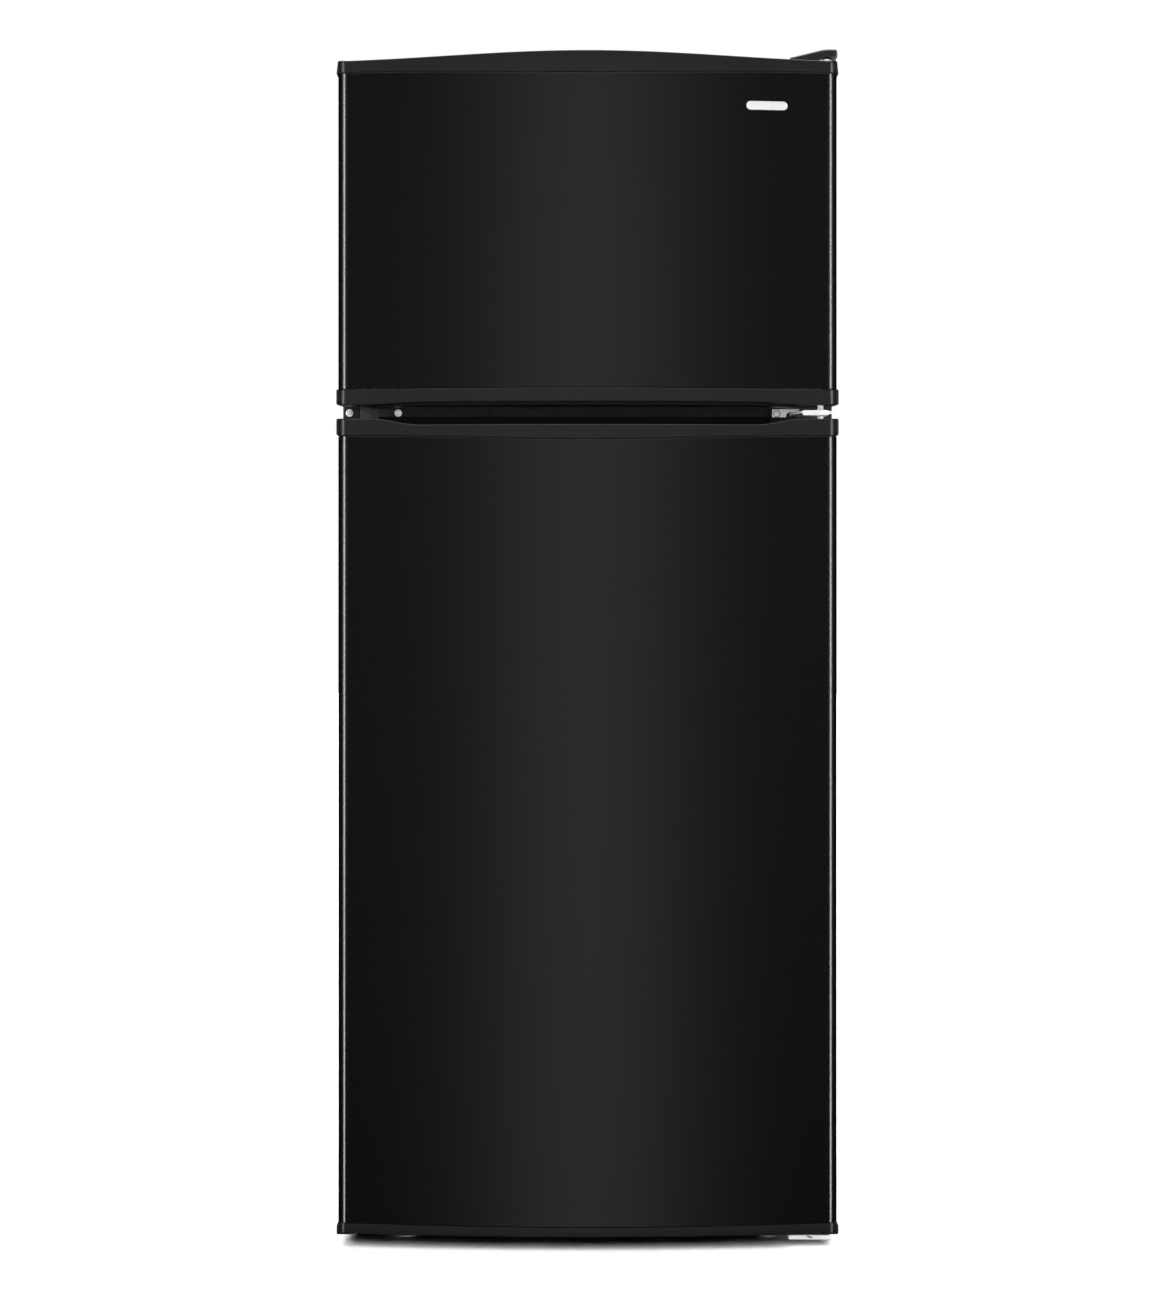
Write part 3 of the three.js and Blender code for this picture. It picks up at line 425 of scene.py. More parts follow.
def add_block(bm, x0, x1, y0, y1, z0, z1):
    centre = ((x0 + x1) / 2, (y0 + y1) / 2, (z0 + z1) / 2)
    size = (abs(x1 - x0), abs(y1 - y0), abs(z1 - z0), 1)
    bmesh.ops.create_cube(bm, size=1, matrix=Matrix.Translation(centre) @ Matrix.Diagonal(size))


def add_prism(bm, points, axis, low, high):
    """Outline extruded along an axis. Its points are (x, y) for z, (x, z) for y and (y, z) for x."""
    def at(point, level):
        place = list(point)
        place.insert("xyz".index(axis), level)
        return place

    add_loft(bm, [[at(p, low) for p in points], [at(p, high) for p in points]])


def add_turned(bm, profile, centre, axis="z", sides=40):
    """Body turned about an axis, from (radius, distance along the axis) pairs that end on the axis."""
    cx, cy, cz = centre
    rows = []
    for radius, along in profile:
        ring = []
        for i in range(sides):
            a = 2 * math.pi * i / sides
            u, v = max(radius, 0.01) * math.cos(a), max(radius, 0.01) * math.sin(a)
            spot = {"x": (along, u, v), "y": (u, along, v), "z": (u, v, along)}[axis]
            ring.append((cx + spot[0], cy + spot[1], cz + spot[2]))
        rows.append(ring)
    add_loft(bm, rows)


def add_tube(bm, path, radius, sides=10, closed=False):
    """Round bar along a path that lies in a level plane."""
    count = len(path)
    rows = []
    for i, point in enumerate(path):
        before = path[(i - 1) % count] if closed or i else path[0]
        after = path[(i + 1) % count] if closed or i < count - 1 else path[-1]
        run = (Vector(after) - Vector(before)).normalized()
        across = run.cross(Vector((0, 0, 1)))
        ring = []
        for k in range(sides):
            a = 2 * math.pi * k / sides
            ring.append(Vector(point) + radius * (across * math.cos(a) + Vector((0, 0, math.sin(a)))))
        rows.append(ring)
    add_grid(bm, rows, wrap_rows=closed, wrap_columns=True, cap_rows=not closed)


def rounded(u0, u1, v0, v1, radius, steps=6):
    """Points round a rectangle with round corners."""
    points = []
    for u, v, start in [(u1, v1, 0), (u0, v1, 90), (u0, v0, 180), (u1, v0, 270)]:
        centre_u = u - radius if u == u1 else u + radius
        centre_v = v - radius if v == v1 else v + radius
        for i in range(steps + 1):
            a = math.radians(start + 90 * i / steps)
            points.append((centre_u + radius * math.cos(a), centre_v + radius * math.sin(a)))
    return points


def arc(centre_u, centre_v, radius, start, end, steps=4):
    """Points of an arc, with its angles in degrees from the first axis towards the second."""
    angles = [math.radians(start + (end - start) * i / steps) for i in range(steps + 1)]
    return [(centre_u + radius * math.cos(a), centre_v + radius * math.sin(a)) for a in angles]


def add_tub(bm, x0, x1, y0, y1, profile, radius, least=0.5):
    """Open box with round corners of at least a given radius, from (height, inset) pairs up the outside and
    down the inside."""
    rows = []
    for z, inset in profile:
        corner = max(radius - inset, least)
        outline = rounded(x0 + inset, x1 - inset, y0 + inset, y1 - inset, corner)
        rows.append([(x, y, z) for x, y in outline])
    add_loft(bm, rows)


def upright_loop(half, z0, z1, y, radius, steps=6):
    return [(x, y, z) for x, z in rounded(-half, half, z0, z1, radius, steps)]


def smooth(x, low, high):
    t = min(1.0, max(0.0, (x - low) / (high - low)))
    return t * t * (3 - 2 * t)


# ------------------------------------------------------------------ doors: sheet, caps, badge
def bow(x):
    return APEX + BOW * (x / HALF) ** 2


def front_of(x, half, corner):
    """Front of a bowed piece at x, with its vertical edges rounded off."""
    straight = half - corner
    if abs(x) <= straight:
        return bow(x)
    over = min(1.0, (abs(x) - straight) / corner)
    return bow(straight) + corner * (1 - math.sqrt(1 - over * over))


def stations(half, corner, middle, turns=10):
    """Places across a bowed piece, closer together round its corners."""
    straight = half - corner
    right = [straight + corner * math.sin(math.pi / 2 * i / turns) for i in range(1, turns + 1)]
    inner = [-straight + 2 * straight * i / middle for i in range(middle + 1)]
    return [-x for x in reversed(right)] + inner + right


def seam(name):
    """Height of a line across a door, which sags or rises towards the middle."""
    ends, middle = LINES[name]
    return lambda x: ends + (middle - ends) * math.cos(math.pi / 2 * min(1.0, abs(x) / HALF)) ** 2


def grip(name):
    ends, middle = LINES[name]
    return lambda x: middle + (ends - middle) * smooth(abs(x), GRIP_INNER, GRIP_OUTER)


def door_sheet(door, low, high):
    """Folded steel sheet: back flange, side, round edge and bowed front, closed over its thickness."""
    flange = 335
    across = stations(HALF, CORNER, 56)

    def outline(inset):
        half, back = DOOR_HALF - inset, DOOR_BACK - inset
        face = [(x * half / HALF, front_of(x, HALF, CORNER) + inset) for x in across]
        middle = (back + face[0][1]) / 2
        left = [(-flange, back), (-half, back), (-half, middle)]
        return left + face + [(-x, y) for x, y in reversed(left)]

    def ring(points, share):
        heights = []
        for x, y in points:
            z0, z1 = low(x) + SEAM, high(x) - SEAM
            heights.append((x, y, z0 + (z1 - z0) * share))
        return heights

    outer, inner = outline(0), outline(SHEET)
    rows = [ring(outer, share) for share in (0, 0.33, 0.67, 1)] + [ring(inner, 1), ring(inner, 0)]
    bm = bmesh.new()
    add_grid(bm, rows, wrap_rows=True, cap_columns=True)
    place_piece(f"{door}_sheet", bm, "door", f"{door}_skin", bevel=0.35, sharp=50)


def add_cap_body(bm, low, high, notch):
    """Bowed cap between two lines, with rounded front edges. A handle cap has a finger scoop."""
    back = DOOR_BACK - GAP
    edge, wall_depth, reach_depth, corner = 1.5, 8, 48, 3
    sections = []
    for x in stations(FACE_HALF, CAP_CORNER, 72):
        y, z0, z1 = front_of(x, FACE_HALF, CAP_CORNER), low(x), high(x)
        bottom = arc(y + edge, z0 + edge, edge, 270, 180)
        top = arc(y + edge, z1 - edge, edge, 180, 90)
        under, over = [], []
        if notch:
            side, full = notch
            depth = full * (1 - smooth(abs(x), 283, 300)) + 0.4
            wall, reach = y + wall_depth, min(y + reach_depth, back - 2)
            r = min(corner, depth / 2)
            if side == "under":
                roof = z0 + depth
                under = [(reach, z0), *arc(reach - r, roof - r, r, 0, 90)]
                under += [*arc(wall + r, roof - r, r, 90, 180), (wall, z0)]
            else:
                floor = z1 - depth
                over = [(wall, z1), *arc(wall + r, floor + r, r, 180, 270)]
                over += [*arc(reach - r, floor + r, r, 270, 360), (reach, z1)]
        loop = bottom + top + over + [(back, z1), (back, z0)] + under
        if under:
            # the underside rises to the back at its ends, so that its front edge alone shows from below
            rise = UNDER_RISE * smooth(abs(x), 300, 330) / (back - y)
            loop = [(py, pz + rise * (py - y) if pz < z0 + 1.2 else pz) for py, pz in loop]
        sections.append([(x, py, pz) for py, pz in loop])
    add_loft(bm, sections)


def add_tabs(bm, half, z0, z1, taper=0, rise=0):
    """Rounded end tabs of a cap, set back from its face. A tab may be narrower at its top, or its underside
    may rise to the back."""
    inner, face, back, chamfer = 330, -346, DOOR_BACK - GAP, 0.9
    for side in (-1, 1):
        rows = []
        for y, shrink in [(face, chamfer), (face + 0.3, chamfer * 0.4), (face + chamfer, 0), (back, 0)]:
            low = z0 + shrink + rise * (y - face) / (back - face)
            outline = rounded(inner, half - shrink, low, z1 - shrink, 2.6)
            rows.append([(side * (u - taper * smooth(v, z0, z1) * (u > half - 4)), y, v) for u, v in outline])
        add_loft(bm, rows)


def make_caps():
    under, over = grip("freezer_grip"), grip("food_grip")
    caps = [
        # name, node, low line, high line, scoop's side and depth, the end tabs' heights, taper and rise
        ("freezer_top_trim", "freezer_top_cap", seam("top_seam"), seam("top_high"), None,
         (1662, 1682.4, 1.8)),
        ("freezer_grip_trim", "freezer_handle_cap", under, seam("freezer_seam"), ("under", 15),
         (1195.1, 1217.4, 0, UNDER_RISE)),
        ("food_grip_trim", "food_handle_cap", seam("food_seam"), over, ("over", 11), (1152.3, 1176)),
        ("food_bottom_trim", "food_bottom_cap", seam("bottom_low"), seam("bottom_seam"), None, (21.6, 36.4)),
    ]
    for name, node, low, high, notch, tabs in caps:
        bm = bmesh.new()
        add_cap_body(bm, low, high, notch)
        add_tabs(bm, node_box(node)[1].x, *tabs)
        place_piece(name, bm, "cap", node)


def make_badge():
    """Plain bright pill on the freezer door, with a raised rim round a brushed field."""
    middle_x, _, middle_z = node_centre("badge")
    half_w, _, half_h = node_box("badge")[1] - node_centre("badge")
    bm = bmesh.new()
    rows = []
    for inset, proud in [(0, 0), (0, 0.9), (0.4, 1.4), (1.1, 1.6), (1.8, 1.4), (2.2, 0.9), (4.0, 1.1)]:
        r = half_h - inset - 0.05
        outline = rounded(-half_w + inset, half_w - inset, -half_h + inset, half_h - inset, r, 8)
        rows.append([(middle_x + u, bow(middle_x + u) - GAP - proud, middle_z + v) for u, v in outline])
    add_loft(bm, rows)
    place_piece("badge_pill", bm, "badge", "badge", sharp=30)


# ------------------------------------------------------------------ doors: the inner side
def door_liner(door, z0, z1, ridge_low, ridge_high, extras=()):
    """Formed liner: a flat flange, a hollow ridge with soft edges and a sunk field between its sides."""
    flange_y = DOOR_BACK + GAP + LINER
    rows = [
        upright_loop(340, z0, z1, flange_y - 1.8, 6),
        upright_loop(340, z0, z1, flange_y - 0.6, 6),
        upright_loop(339.4, z0 + 0.6, z1 - 0.6, flange_y, 6),
    ]
    wall = RIDGE_WALL
    profile = [
        (-4, flange_y), (-1.2, flange_y + 0.9), (0, flange_y + 4), (1.6, RIDGE_BACK - 8),
        (3.2, RIDGE_BACK - 3), (6.5, RIDGE_BACK - 0.6), (10, RIDGE_BACK), (wall - 10, RIDGE_BACK),
        (wall - 6.5, RIDGE_BACK - 0.6), (wall - 3.2, RIDGE_BACK - 3), (wall - 1.6, RIDGE_BACK - 8),
        (wall, flange_y + 5), (wall + 1.5, flange_y + 1.5), (wall + 5, flange_y), (wall + 30, flange_y),
    ]
    for inset, y in profile:
        corner = max(26 - inset * 0.4, 6)
        rows.append(upright_loop(RIDGE - inset, ridge_low + inset, ridge_high - inset, y, corner))
    bm = bmesh.new()
    add_cup(bm, rows)
    place_piece(f"{door}_inner_liner", bm, "liner", f"{door}_liner", thickness=-1.6)
    if extras:
        bm = bmesh.new()
        for extra in extras:
            add_block(bm, *extra)
        place_piece(f"{door}_pocket", bm, "liner", body=door, bevel=1.2)


def door_core(door, low, high, ridge_low, ridge_high):
    """Rigid foam that fills the sheet and the liner's ridge, just under both."""
    inset = SHEET + 2 * GAP
    across = stations(HALF, CORNER, 24, 5)
    face = [(x * (HALF - inset) / HALF, front_of(x, HALF, CORNER) + inset) for x in across]
    back = DOOR_BACK - inset
    outline = [(-HALF + inset, back), *face, (HALF - inset, back)]
    bottom = [(x, y, low(x) + 8) for x, y in outline]
    top = [(x, y, high(x) - 8) for x, y in outline]
    bm = bmesh.new()
    add_loft(bm, [bottom, top])
    deep, wall = 3.4, RIDGE_WALL
    ring = [
        (deep, back + 0.1), (deep, RIDGE_BACK - 9), (deep + 5, RIDGE_BACK - deep),
        (wall - deep - 5, RIDGE_BACK - deep), (wall - deep, RIDGE_BACK - 9), (wall - deep, back + 0.1),
    ]
    rows = []
    for step, y in ring:
        corner = max(26 - step * 0.4, 6)
        rows.append(upright_loop(RIDGE - step, ridge_low + step, ridge_high - step, y, corner))
    add_band(bm, rows)
    place_piece(f"{door}_foam", bm, "foam", f"{door}_core")


def door_gasket(door):
    """Magnetic seal: a bellows section swept round the door."""
    low, high = node_box(f"{door}_gasket")
    back, face = low.y, high.y
    section = [
        (0, back), (0, back + 2.4), (1.6, back + 3.4), (1.6, back + 4.2), (0.2, back + 5.4), (0, face - 1),
        (1.2, face), (12.8, face), (14, face - 1), (13.8, back + 5.4), (12.4, back + 4.2), (12.4, back + 3.4),
        (14, back + 2.4), (14, back),
    ]
    rows = [upright_loop(high.x - d, low.z + d, high.z - d, y, max(16 - d, 2.5), 5) for d, y in section]
    bm = bmesh.new()
    add_band(bm, rows)
    if door == "food_door":
        # dark flap that closes the view past the seal over the finger scoop, and stands for the shadow in the
        # gap under the rail: painted shade
        foot, top = high.z - 8, 1183
        shade_flap = [(back + 1, foot), (back + 1, top - 1), (back + 2, top), (back + 3, top - 1), (back + 3, foot)]
        add_prism(bm, shade_flap, "x", -300, 262)
    place_piece(f"{door}_seal", bm, "gasket", f"{door}_gasket")


def door_bin(node):
    """Clear bin with soft corners, a moulded waist line and a white rail round its rim."""
    low, high = node_box(node)
    x0, x1, y0, y1, z0, z1 = low.x + 0.6, high.x - 0.6, low.y + 0.2, high.y - 2.2, low.z, high.z
    waist = z0 + (z1 - z0) * 0.42
    outside = [
        (z0, 13), (z0 + 1, 9.5), (z0 + 4, 7), (z0 + 9, 5.8), (waist - 3, 4.4), (waist, 3.4), (waist + 3, 3.0),
        (z1 - 10, 2.0), (z1 - 1, 1.8),
    ]
    wall = 2.2
    inside = [(z if z > z0 + 4 else z + wall, inset + wall) for z, inset in reversed(outside)]
    bm = bmesh.new()
    add_tub(bm, x0, x1, y0, y1, outside + inside, 26)
    place_piece(f"{node}_tub", bm, "bin", node)

    bm = bmesh.new()
    rim = []
    for z, inset in [
        (z1 - 11, 1.6), (z1 - 11, 0.2), (z1 - 9.5, -0.3), (z1 - 1.6, -0.5), (z1 - 0.4, 0.4), (z1, 1.8),
        (z1 - 0.4, 4.2), (z1 - 1.6, 4.9), (z1 - 3.2, 4.6), (z1 - 3.2, 1.6),
    ]:
        outline = rounded(x0 + inset, x1 - inset, y0 + inset, y1 - inset, 26 - inset)
        rim.append([(x, y, z) for x, y in outline])
    add_band(bm, rim)
    place_piece(f"{node}_rim", bm, "trim", body=BODY_OF[node])


def make_dairy_lid():
    """Translucent curved lid with a rolled front edge, round ends and a finger lip."""
    low, high = node_box("dairy_lid")
    front_y, bottom = high.y, low.z
    bend, radius, turn, wall = 1066, 20, 78, 2.3
    outer = [(front_y, bottom + 1.2), (front_y, bend), *arc(front_y - radius, bend, radius, 0, turn, 8)]
    outer.append((low.y, high.z))
    curve = arc(front_y - radius, bend, radius - wall, turn, 0, 8)
    inner = [(low.y, high.z - wall), *curve]
    inner += [(front_y - wall, bend), (front_y - wall, bottom + 1.2), (front_y - wall / 2, bottom)]
    bm = bmesh.new()
    add_prism(bm, outer + inner, "x", low.x + 2, high.x - 2)
    for side in (-1, 1):
        web = [(front_y - wall, bottom + 6), (front_y - wall, bend), *reversed(curve)]
        web += [(low.y, high.z - wall), (low.y, high.z - 9)]
        web += [(front_y - 14, bend - 4), (front_y - 14, bottom + 6)]
        add_prism(bm, web, "x", side * (high.x - 2), side * (high.x - 4))
    place_piece("dairy_lid_cover", bm, "bin", "dairy_lid", bevel=0.4)
    bm = bmesh.new()
    lip = [(front_y - wall, bottom + 1), (front_y - wall, bottom + 4)]
    lip += [(front_y - 9, bottom + 3.4), (front_y - 9, bottom + 1)]
    add_prism(bm, lip, "x", -60, 60)
    place_piece("dairy_lid_lip", bm, "trim", body="dairy_lid", bevel=0.5)


def make_doors():
    doors = [
        ("food_door", seam("bottom_seam"), seam("food_seam"), FOOD_RIDGE),
        ("freezer_door", seam("freezer_seam"), seam("top_seam"), FREEZER_RIDGE),
    ]
    for door, low, high, _ in doors:
        door_sheet(door, low, high)
    make_caps()
    make_badge()
    pocket_back, pocket_face = DOOR_BACK + LINER, -206
    pocket = [(-236, 236, pocket_back, pocket_face, 985, 989)]
    pocket += [(side * 233.4, side * 236.6, pocket_back, pocket_face, 985, 1088) for side in (-1, 1)]
    door_liner("food_door", 44, 1146, *FOOD_RIDGE, pocket)
    door_liner("freezer_door", 1208, 1668, *FREEZER_RIDGE)
    for door, low, high, ridge in doors:
        door_core(door, low, high, *ridge)
    for door, *_ in doors:
        door_gasket(door)
    for node in ("gallon_bin", "middle_bin", "freezer_door_bin"):
        door_bin(node)
    make_dairy_lid()


# ------------------------------------------------------------------ cabinet, outside
def make_wrapper():
    """One folded sheet up the left side, over the top and down the right, with turned-in edges."""
    low_z = CASE_LOW.z
    top_turn = 5

    def arch(inset, y):
        half, top, r = HALF - inset, CABINET_TOP - inset, max(top_turn - inset, 0.6)
        points = [(-half, y, low_z), (-half, y, low_z + 500), (-half, y, low_z + 1100)]
        points += [(u, y, v) for u, v in arc(-half + r, top - r, r, 180, 90)]
        points += [(-100, y, top), (100, y, top)]
        points += [(u, y, v) for u, v in arc(half - r, top - r, r, 90, 0)]
        return points + [(half, y, low_z + 1100), (half, y, low_z + 500), (half, y, low_z)]

    inner = HALF - FLANGE_IN
    front, back, fold = CABINET_FRONT, CABINET_BACK, 1.6
    profile = [(inner, front), (fold, front)]
    profile += [(fold - fold * math.sin(a), front + fold - fold * math.cos(a)) for a in (0.5, 1.0)]
    profile += [(0, front + fold), (0, -100), (0, 200), (0, back - 2.4), (0.5, back - 0.7), (2.4, back)]
    profile += [(16, back), (16, back - SHEET), (3, back - SHEET), (SHEET, back - 3)]
    profile += [(SHEET, front + 3), (2.4, front + SHEET), (inner, front + SHEET)]
    rows = [arch(inset, y) for inset, y in profile]
    bm = bmesh.new()
    add_grid(bm, rows, wrap_rows=True, cap_columns=True)
    place_piece("cabinet_sheet", bm, "case", "cabinet_wrapper", case=True)

    bm = bmesh.new()
    for x, y in [(-331, -270), (-311, -240), (-331, -225)]:
        add_turned(bm, [(0, 0), (7, 0), (7, 1.0), (6, 1.7), (2, 2.0), (0, 2.0)], (x, y, CABINET_TOP))
    place_piece("hinge_hole_plugs", bm, "plastic", sharp=50)


def make_back():
    """Steel back with rolled stiffening beads, held by a row of screws along each edge."""
    low, high = node_box("back_panel")
    beads = [low.z + (high.z - low.z) * share for share in (0.14, 0.3, 0.46, 0.62, 0.78, 0.9)]
    bead_half, proud = 9, 1.1
    levels = [node_box("machine_cover")[1].z + 0.3]
    for z in beads:
        levels += [z + bead_half * step / 4 for step in range(-4, 5)]
    levels.append(high.z)
    across = sorted({side * x for side in (-1, 1) for x in (0, 100, 200, 262, 268, 274, 280, 286, high.x)})
    face = high.y

    def relief(x, z):
        off = min(abs(z - bead) for bead in beads)
        rise = math.cos(math.pi / 2 * off / bead_half) if off < bead_half else 0
        return proud * rise * (1 - smooth(abs(x), 262, 286))

    bm = bmesh.new()
    add_grid(bm, [[(x, face + relief(x, z), z) for x in across] for z in levels])
    place_piece("back_sheet", bm, "case", "back_panel", thickness=-1.0, sharp=50, case=True)

    bm = bmesh.new()
    for side in (-1, 1):
        for step in range(7):
            spot = (side * 326, face, low.z + 40 + step * (high.z - low.z - 80) / 6)
            add_turned(bm, [(0, 0), (4.6, 0), (4.6, 0.5), (3.6, 1.0), (1.6, 1.2), (0, 0.7)], spot, "y", 20)
    place_piece("back_screws", bm, "plated", sharp=30)


def make_machine_cover():
    """Louvred cover of the machine bay, with a hood over each slot and the moulded inlet."""
    refine("machine_cover", "plastic", 0.4)
    back = node_box("machine_cover")[1].y
    face = back - 1.1
    bm = bmesh.new()
    for i in range(7):
        for k in range(3):
            x, z = -270 + 72 * i, 92 + 44 * k
            hood = [(face - 0.4, z), (face - 0.4, z + 5), (face + 1.1, z - 1.6)]
            hood += [(face + 1.1, z - 3), (face + 0.3, z - 3)]
            add_prism(bm, hood, "x", x - 26, x + 26)
    place_piece("machine_cover_hoods", bm, "plastic", bevel=0.25)
    bm = bmesh.new()
    for x in (-320, -110, 110, 320):
        for z in (42, 228):
            add_turned(bm, [(0, 0), (4.6, 0), (4.4, 0.5), (2, 0.9), (0, 0.5)], (x, back - 1, z), "y", 20)
    place_piece("machine_cover_screws", bm, "plated", sharp=30)


def add_screw(bm, seat, radius):
    """Hexagonal washer-head screw seen from -Y, with a cross recess in its domed top."""
    washer = [(0, 0), (radius, 0), (radius, -0.9), (radius - 0.7, -1.5), (radius * 0.7, -1.7), (0, -1.7)]
    add_turned(bm, washer, seat, "y", 28)
    head = [(0, -1.4), (0.64, -1.4), (0.64, -3.4), (0.52, -4.0), (0.3, -4.1), (0.2, -3.2), (0, -2.9)]
    hexagon = [(radius * share, along) for share, along in head]
    add_turned(bm, hexagon, seat, "y", 6)


def make_rail():
    """Textured crossbar between the compartments with a soft front edge, and the heads of the rail and centre
    hinge screws.
    """
    low, high = node_box("mullion_rail")
    face, depth = low.y, 13.5
    sections = []
    for x in (low.x, low.x + 0.8, -200, 0, 200, high.x - 0.8, high.x):
        shrink = 0.6 if abs(x) > high.x - 0.5 else 0
        y, z0, z1 = face + shrink, low.z + shrink, high.z - shrink
        loop = arc(y + 2, z0 + 2, 2, 270, 180) + arc(y + 2, z1 - 2, 2, 180, 90)
        loop += [(face + depth, z1), (face + depth, z0)]
        sections.append([(x, py, pz) for py, pz in loop])
    bm = bmesh.new()
    add_loft(bm, sections)
    place_piece("rail_bar", bm, "rail", "mullion_rail", sharp=50)

    for node in ("rail_screw_outer", "rail_screw_inner", "center_hinge_screw"):
        box_low, box_high = node_box(node)
        x, _, z = node_centre(node)
        seat = (x, box_low.y + 4.2, z)
        radius = box_high.z - z
        bm = bmesh.new()
        add_screw(bm, seat, radius)
        place_piece(f"{node}_head", bm, "plated", node, sharp=30)
        if node == "center_hinge_screw":
            # thin dark ring round the hinge screw's washer: painted shadow where the washer meets the plate
            bm = bmesh.new()
            add_turned(bm, [(0, 0), (radius + 0.8, 0), (radius + 0.8, -0.3), (0, -0.3)], seat, "y")
            place_piece("center_hinge_shadow_ring", bm, "iron", sharp=30)


# ------------------------------------------------------------------ hinges
def make_hinges():
    """Plated hinges: bevelled plates, with round pins and stepped washers."""
    low, high = node_box("center_hinge")
    face = high.y
    bm = bmesh.new()
    plate = [(265.5, 1182.8), (285.5, 1182.8), (285.5, 1186.6), (287.5, 1189), (292, 1190.4), (304, 1190.8)]
    plate += [(304, 1194.4), (265.5, 1194.4)]
    add_prism(bm, plate, "y", face, face - 2.5)
    add_block(bm, 265.8, 293, face - 2.2, face, 1197.2, 1198.6)
    arm = [(290, face), (290, -318), (303, -340), (312, -344), (338, -344), (343, -340), (343, -318)]
    arm.append((325, face))
    add_prism(bm, arm, "z", 1184, 1187.4)
    lip = rounded(304.5, 341.5, 1180.4, 1187.8, 1.6, 4)
    add_prism(bm, lip, "y", -347, -343.6)
    add_block(bm, 341.2, 346, -346, -343, 1182.4, 1186.6)
    place_piece("center_hinge_plate", bm, "plated", "center_hinge", bevel=0.5, sharp=35)
    bm = bmesh.new()
    pin = [(0, -21), (3.6, -21), (4.4, -20), (4.4, -4.5), (7.8, -4.5), (8.4, -4), (8.4, 4), (7.8, 4.5)]
    pin += [(4.4, 4.5), (4.4, 20), (3.6, 21), (0, 21)]
    add_turned(bm, pin, (HINGE_X, HINGE_Y, 1185))
    place_piece("center_hinge_pin", bm, "plated", sharp=30)

    refine("top_hinge", "plated", 0.6)
    low, high = node_box("bottom_hinge")
    x0, x1, y0, y1, z0 = low.x, high.x, low.y, high.y, low.z + 2.4
    z1 = z0 + 6.2
    plate = [(x0, y1), (x0, y0 + 1.5), (x0 + 1.5, y0), (x1 - 1.5, y0), (x1, y0 + 1.5), (x1, y1)]
    bm = bmesh.new()
    add_prism(bm, plate, "z", z0, z1)
    add_block(bm, x0 + 2, 338, -283, -234, z1 - 0.5, 25.7)
    place_piece("bottom_hinge_plate", bm, "plated", "bottom_hinge", bevel=0.6)
    bm = bmesh.new()
    add_turned(bm, [(0, z1), (4.5, z1), (4.5, high.z - 1), (3.4, high.z), (0, high.z)], (HINGE_X, HINGE_Y, 0))
    for x in (296, 318):
        bolt = [(0, z1 - 0.2), (5.4, z1 - 0.2), (5.4, z1 + 2), (4.4, z1 + 2.8), (1.8, z1 + 3), (0, z1 + 2)]
        add_turned(bm, bolt, (x, -300, 0), sides=28)
    place_piece("bottom_hinge_pin", bm, "plated", sharp=30)
    # dark oval set into the plate's front for its slot: painted shade in the opening
    bm = bmesh.new()
    slot = []
    for i in range(16):
        run, rise = math.cos(2 * math.pi * i / 16), math.sin(2 * math.pi * i / 16)
        slot.append((314 + 4.6 * run - 0.4 * rise, z0 + 3.6 - 1.2 * run + 1.1 * rise))
    add_prism(bm, slot, "y", y0 + 1, y0 - 0.15)
    place_piece("bottom_hinge_slot_shade", bm, "plastic")


def make_hinge_cover():
    """Moulded cover over the top hinge, sloping up towards the cabinet's side."""
    low, high = node_box("top_hinge_cover")
    over_cabinet, over_side = CABINET_TOP + GAP, 1683.2
    step_y = CABINET_FRONT + 2

    def roof(x):
        heights = [(low.x, 1685.8), (331, 1696.6), (338, high.z), (high.x, high.z)]
        for (x0, z0), (x1, z1) in zip(heights, heights[1:]):
            if x <= x1:
                return z0 + (z1 - z0) * (x - x0) / (x1 - x0)
        return heights[-1][1]

    def section(x, shrink, drop):
        y0, y1, top = low.y + shrink, high.y - shrink, roof(x) - drop
        over_door = 1687.2 if x > NOTCH else 1683.6
        r = min(3.0, top - over_door - 0.1)
        loop = [(y0, over_door), *arc(y0 + r, top - r, r, 180, 90), *arc(y1 - 3, top - 3, 3, 90, 0)]
        foot = max(over_cabinet, over_side if x > HALF - 0.3 else 0)
        lip = 1681.2 if x < 328 else over_door - 0.02
        loop[0] = (y0, lip)
        loop += [(y1, foot), (step_y, foot), (step_y, over_door), (y0 + 2.2, over_door), (y0 + 2.2, lip)]
        return [(x, y, z) for y, z in loop]

    sections = [section(low.x, 3, 0.8), section(low.x + 0.6, 1.2, 0.4), section(low.x + 2.5, 0.2, 0)]
    for x in (294, 302, 314, 327.9, 328.1, 331, NOTCH, NOTCH + 0.1, 338, 344, 348):
        sections.append(section(x, 0, 0))
    for share in (0.0, 0.3, 0.55, 0.8, 0.95, 1.0):
        curve = 3.6 * (1 - math.sqrt(1 - share * share))
        sections.append(section(high.x - 3.6 + 3.6 * share, curve * 0.8, curve))
    bm = bmesh.new()
    add_loft(bm, sections)
    place_piece("top_hinge_cap", bm, "cover", "top_hinge_cover", sharp=45, case=True)


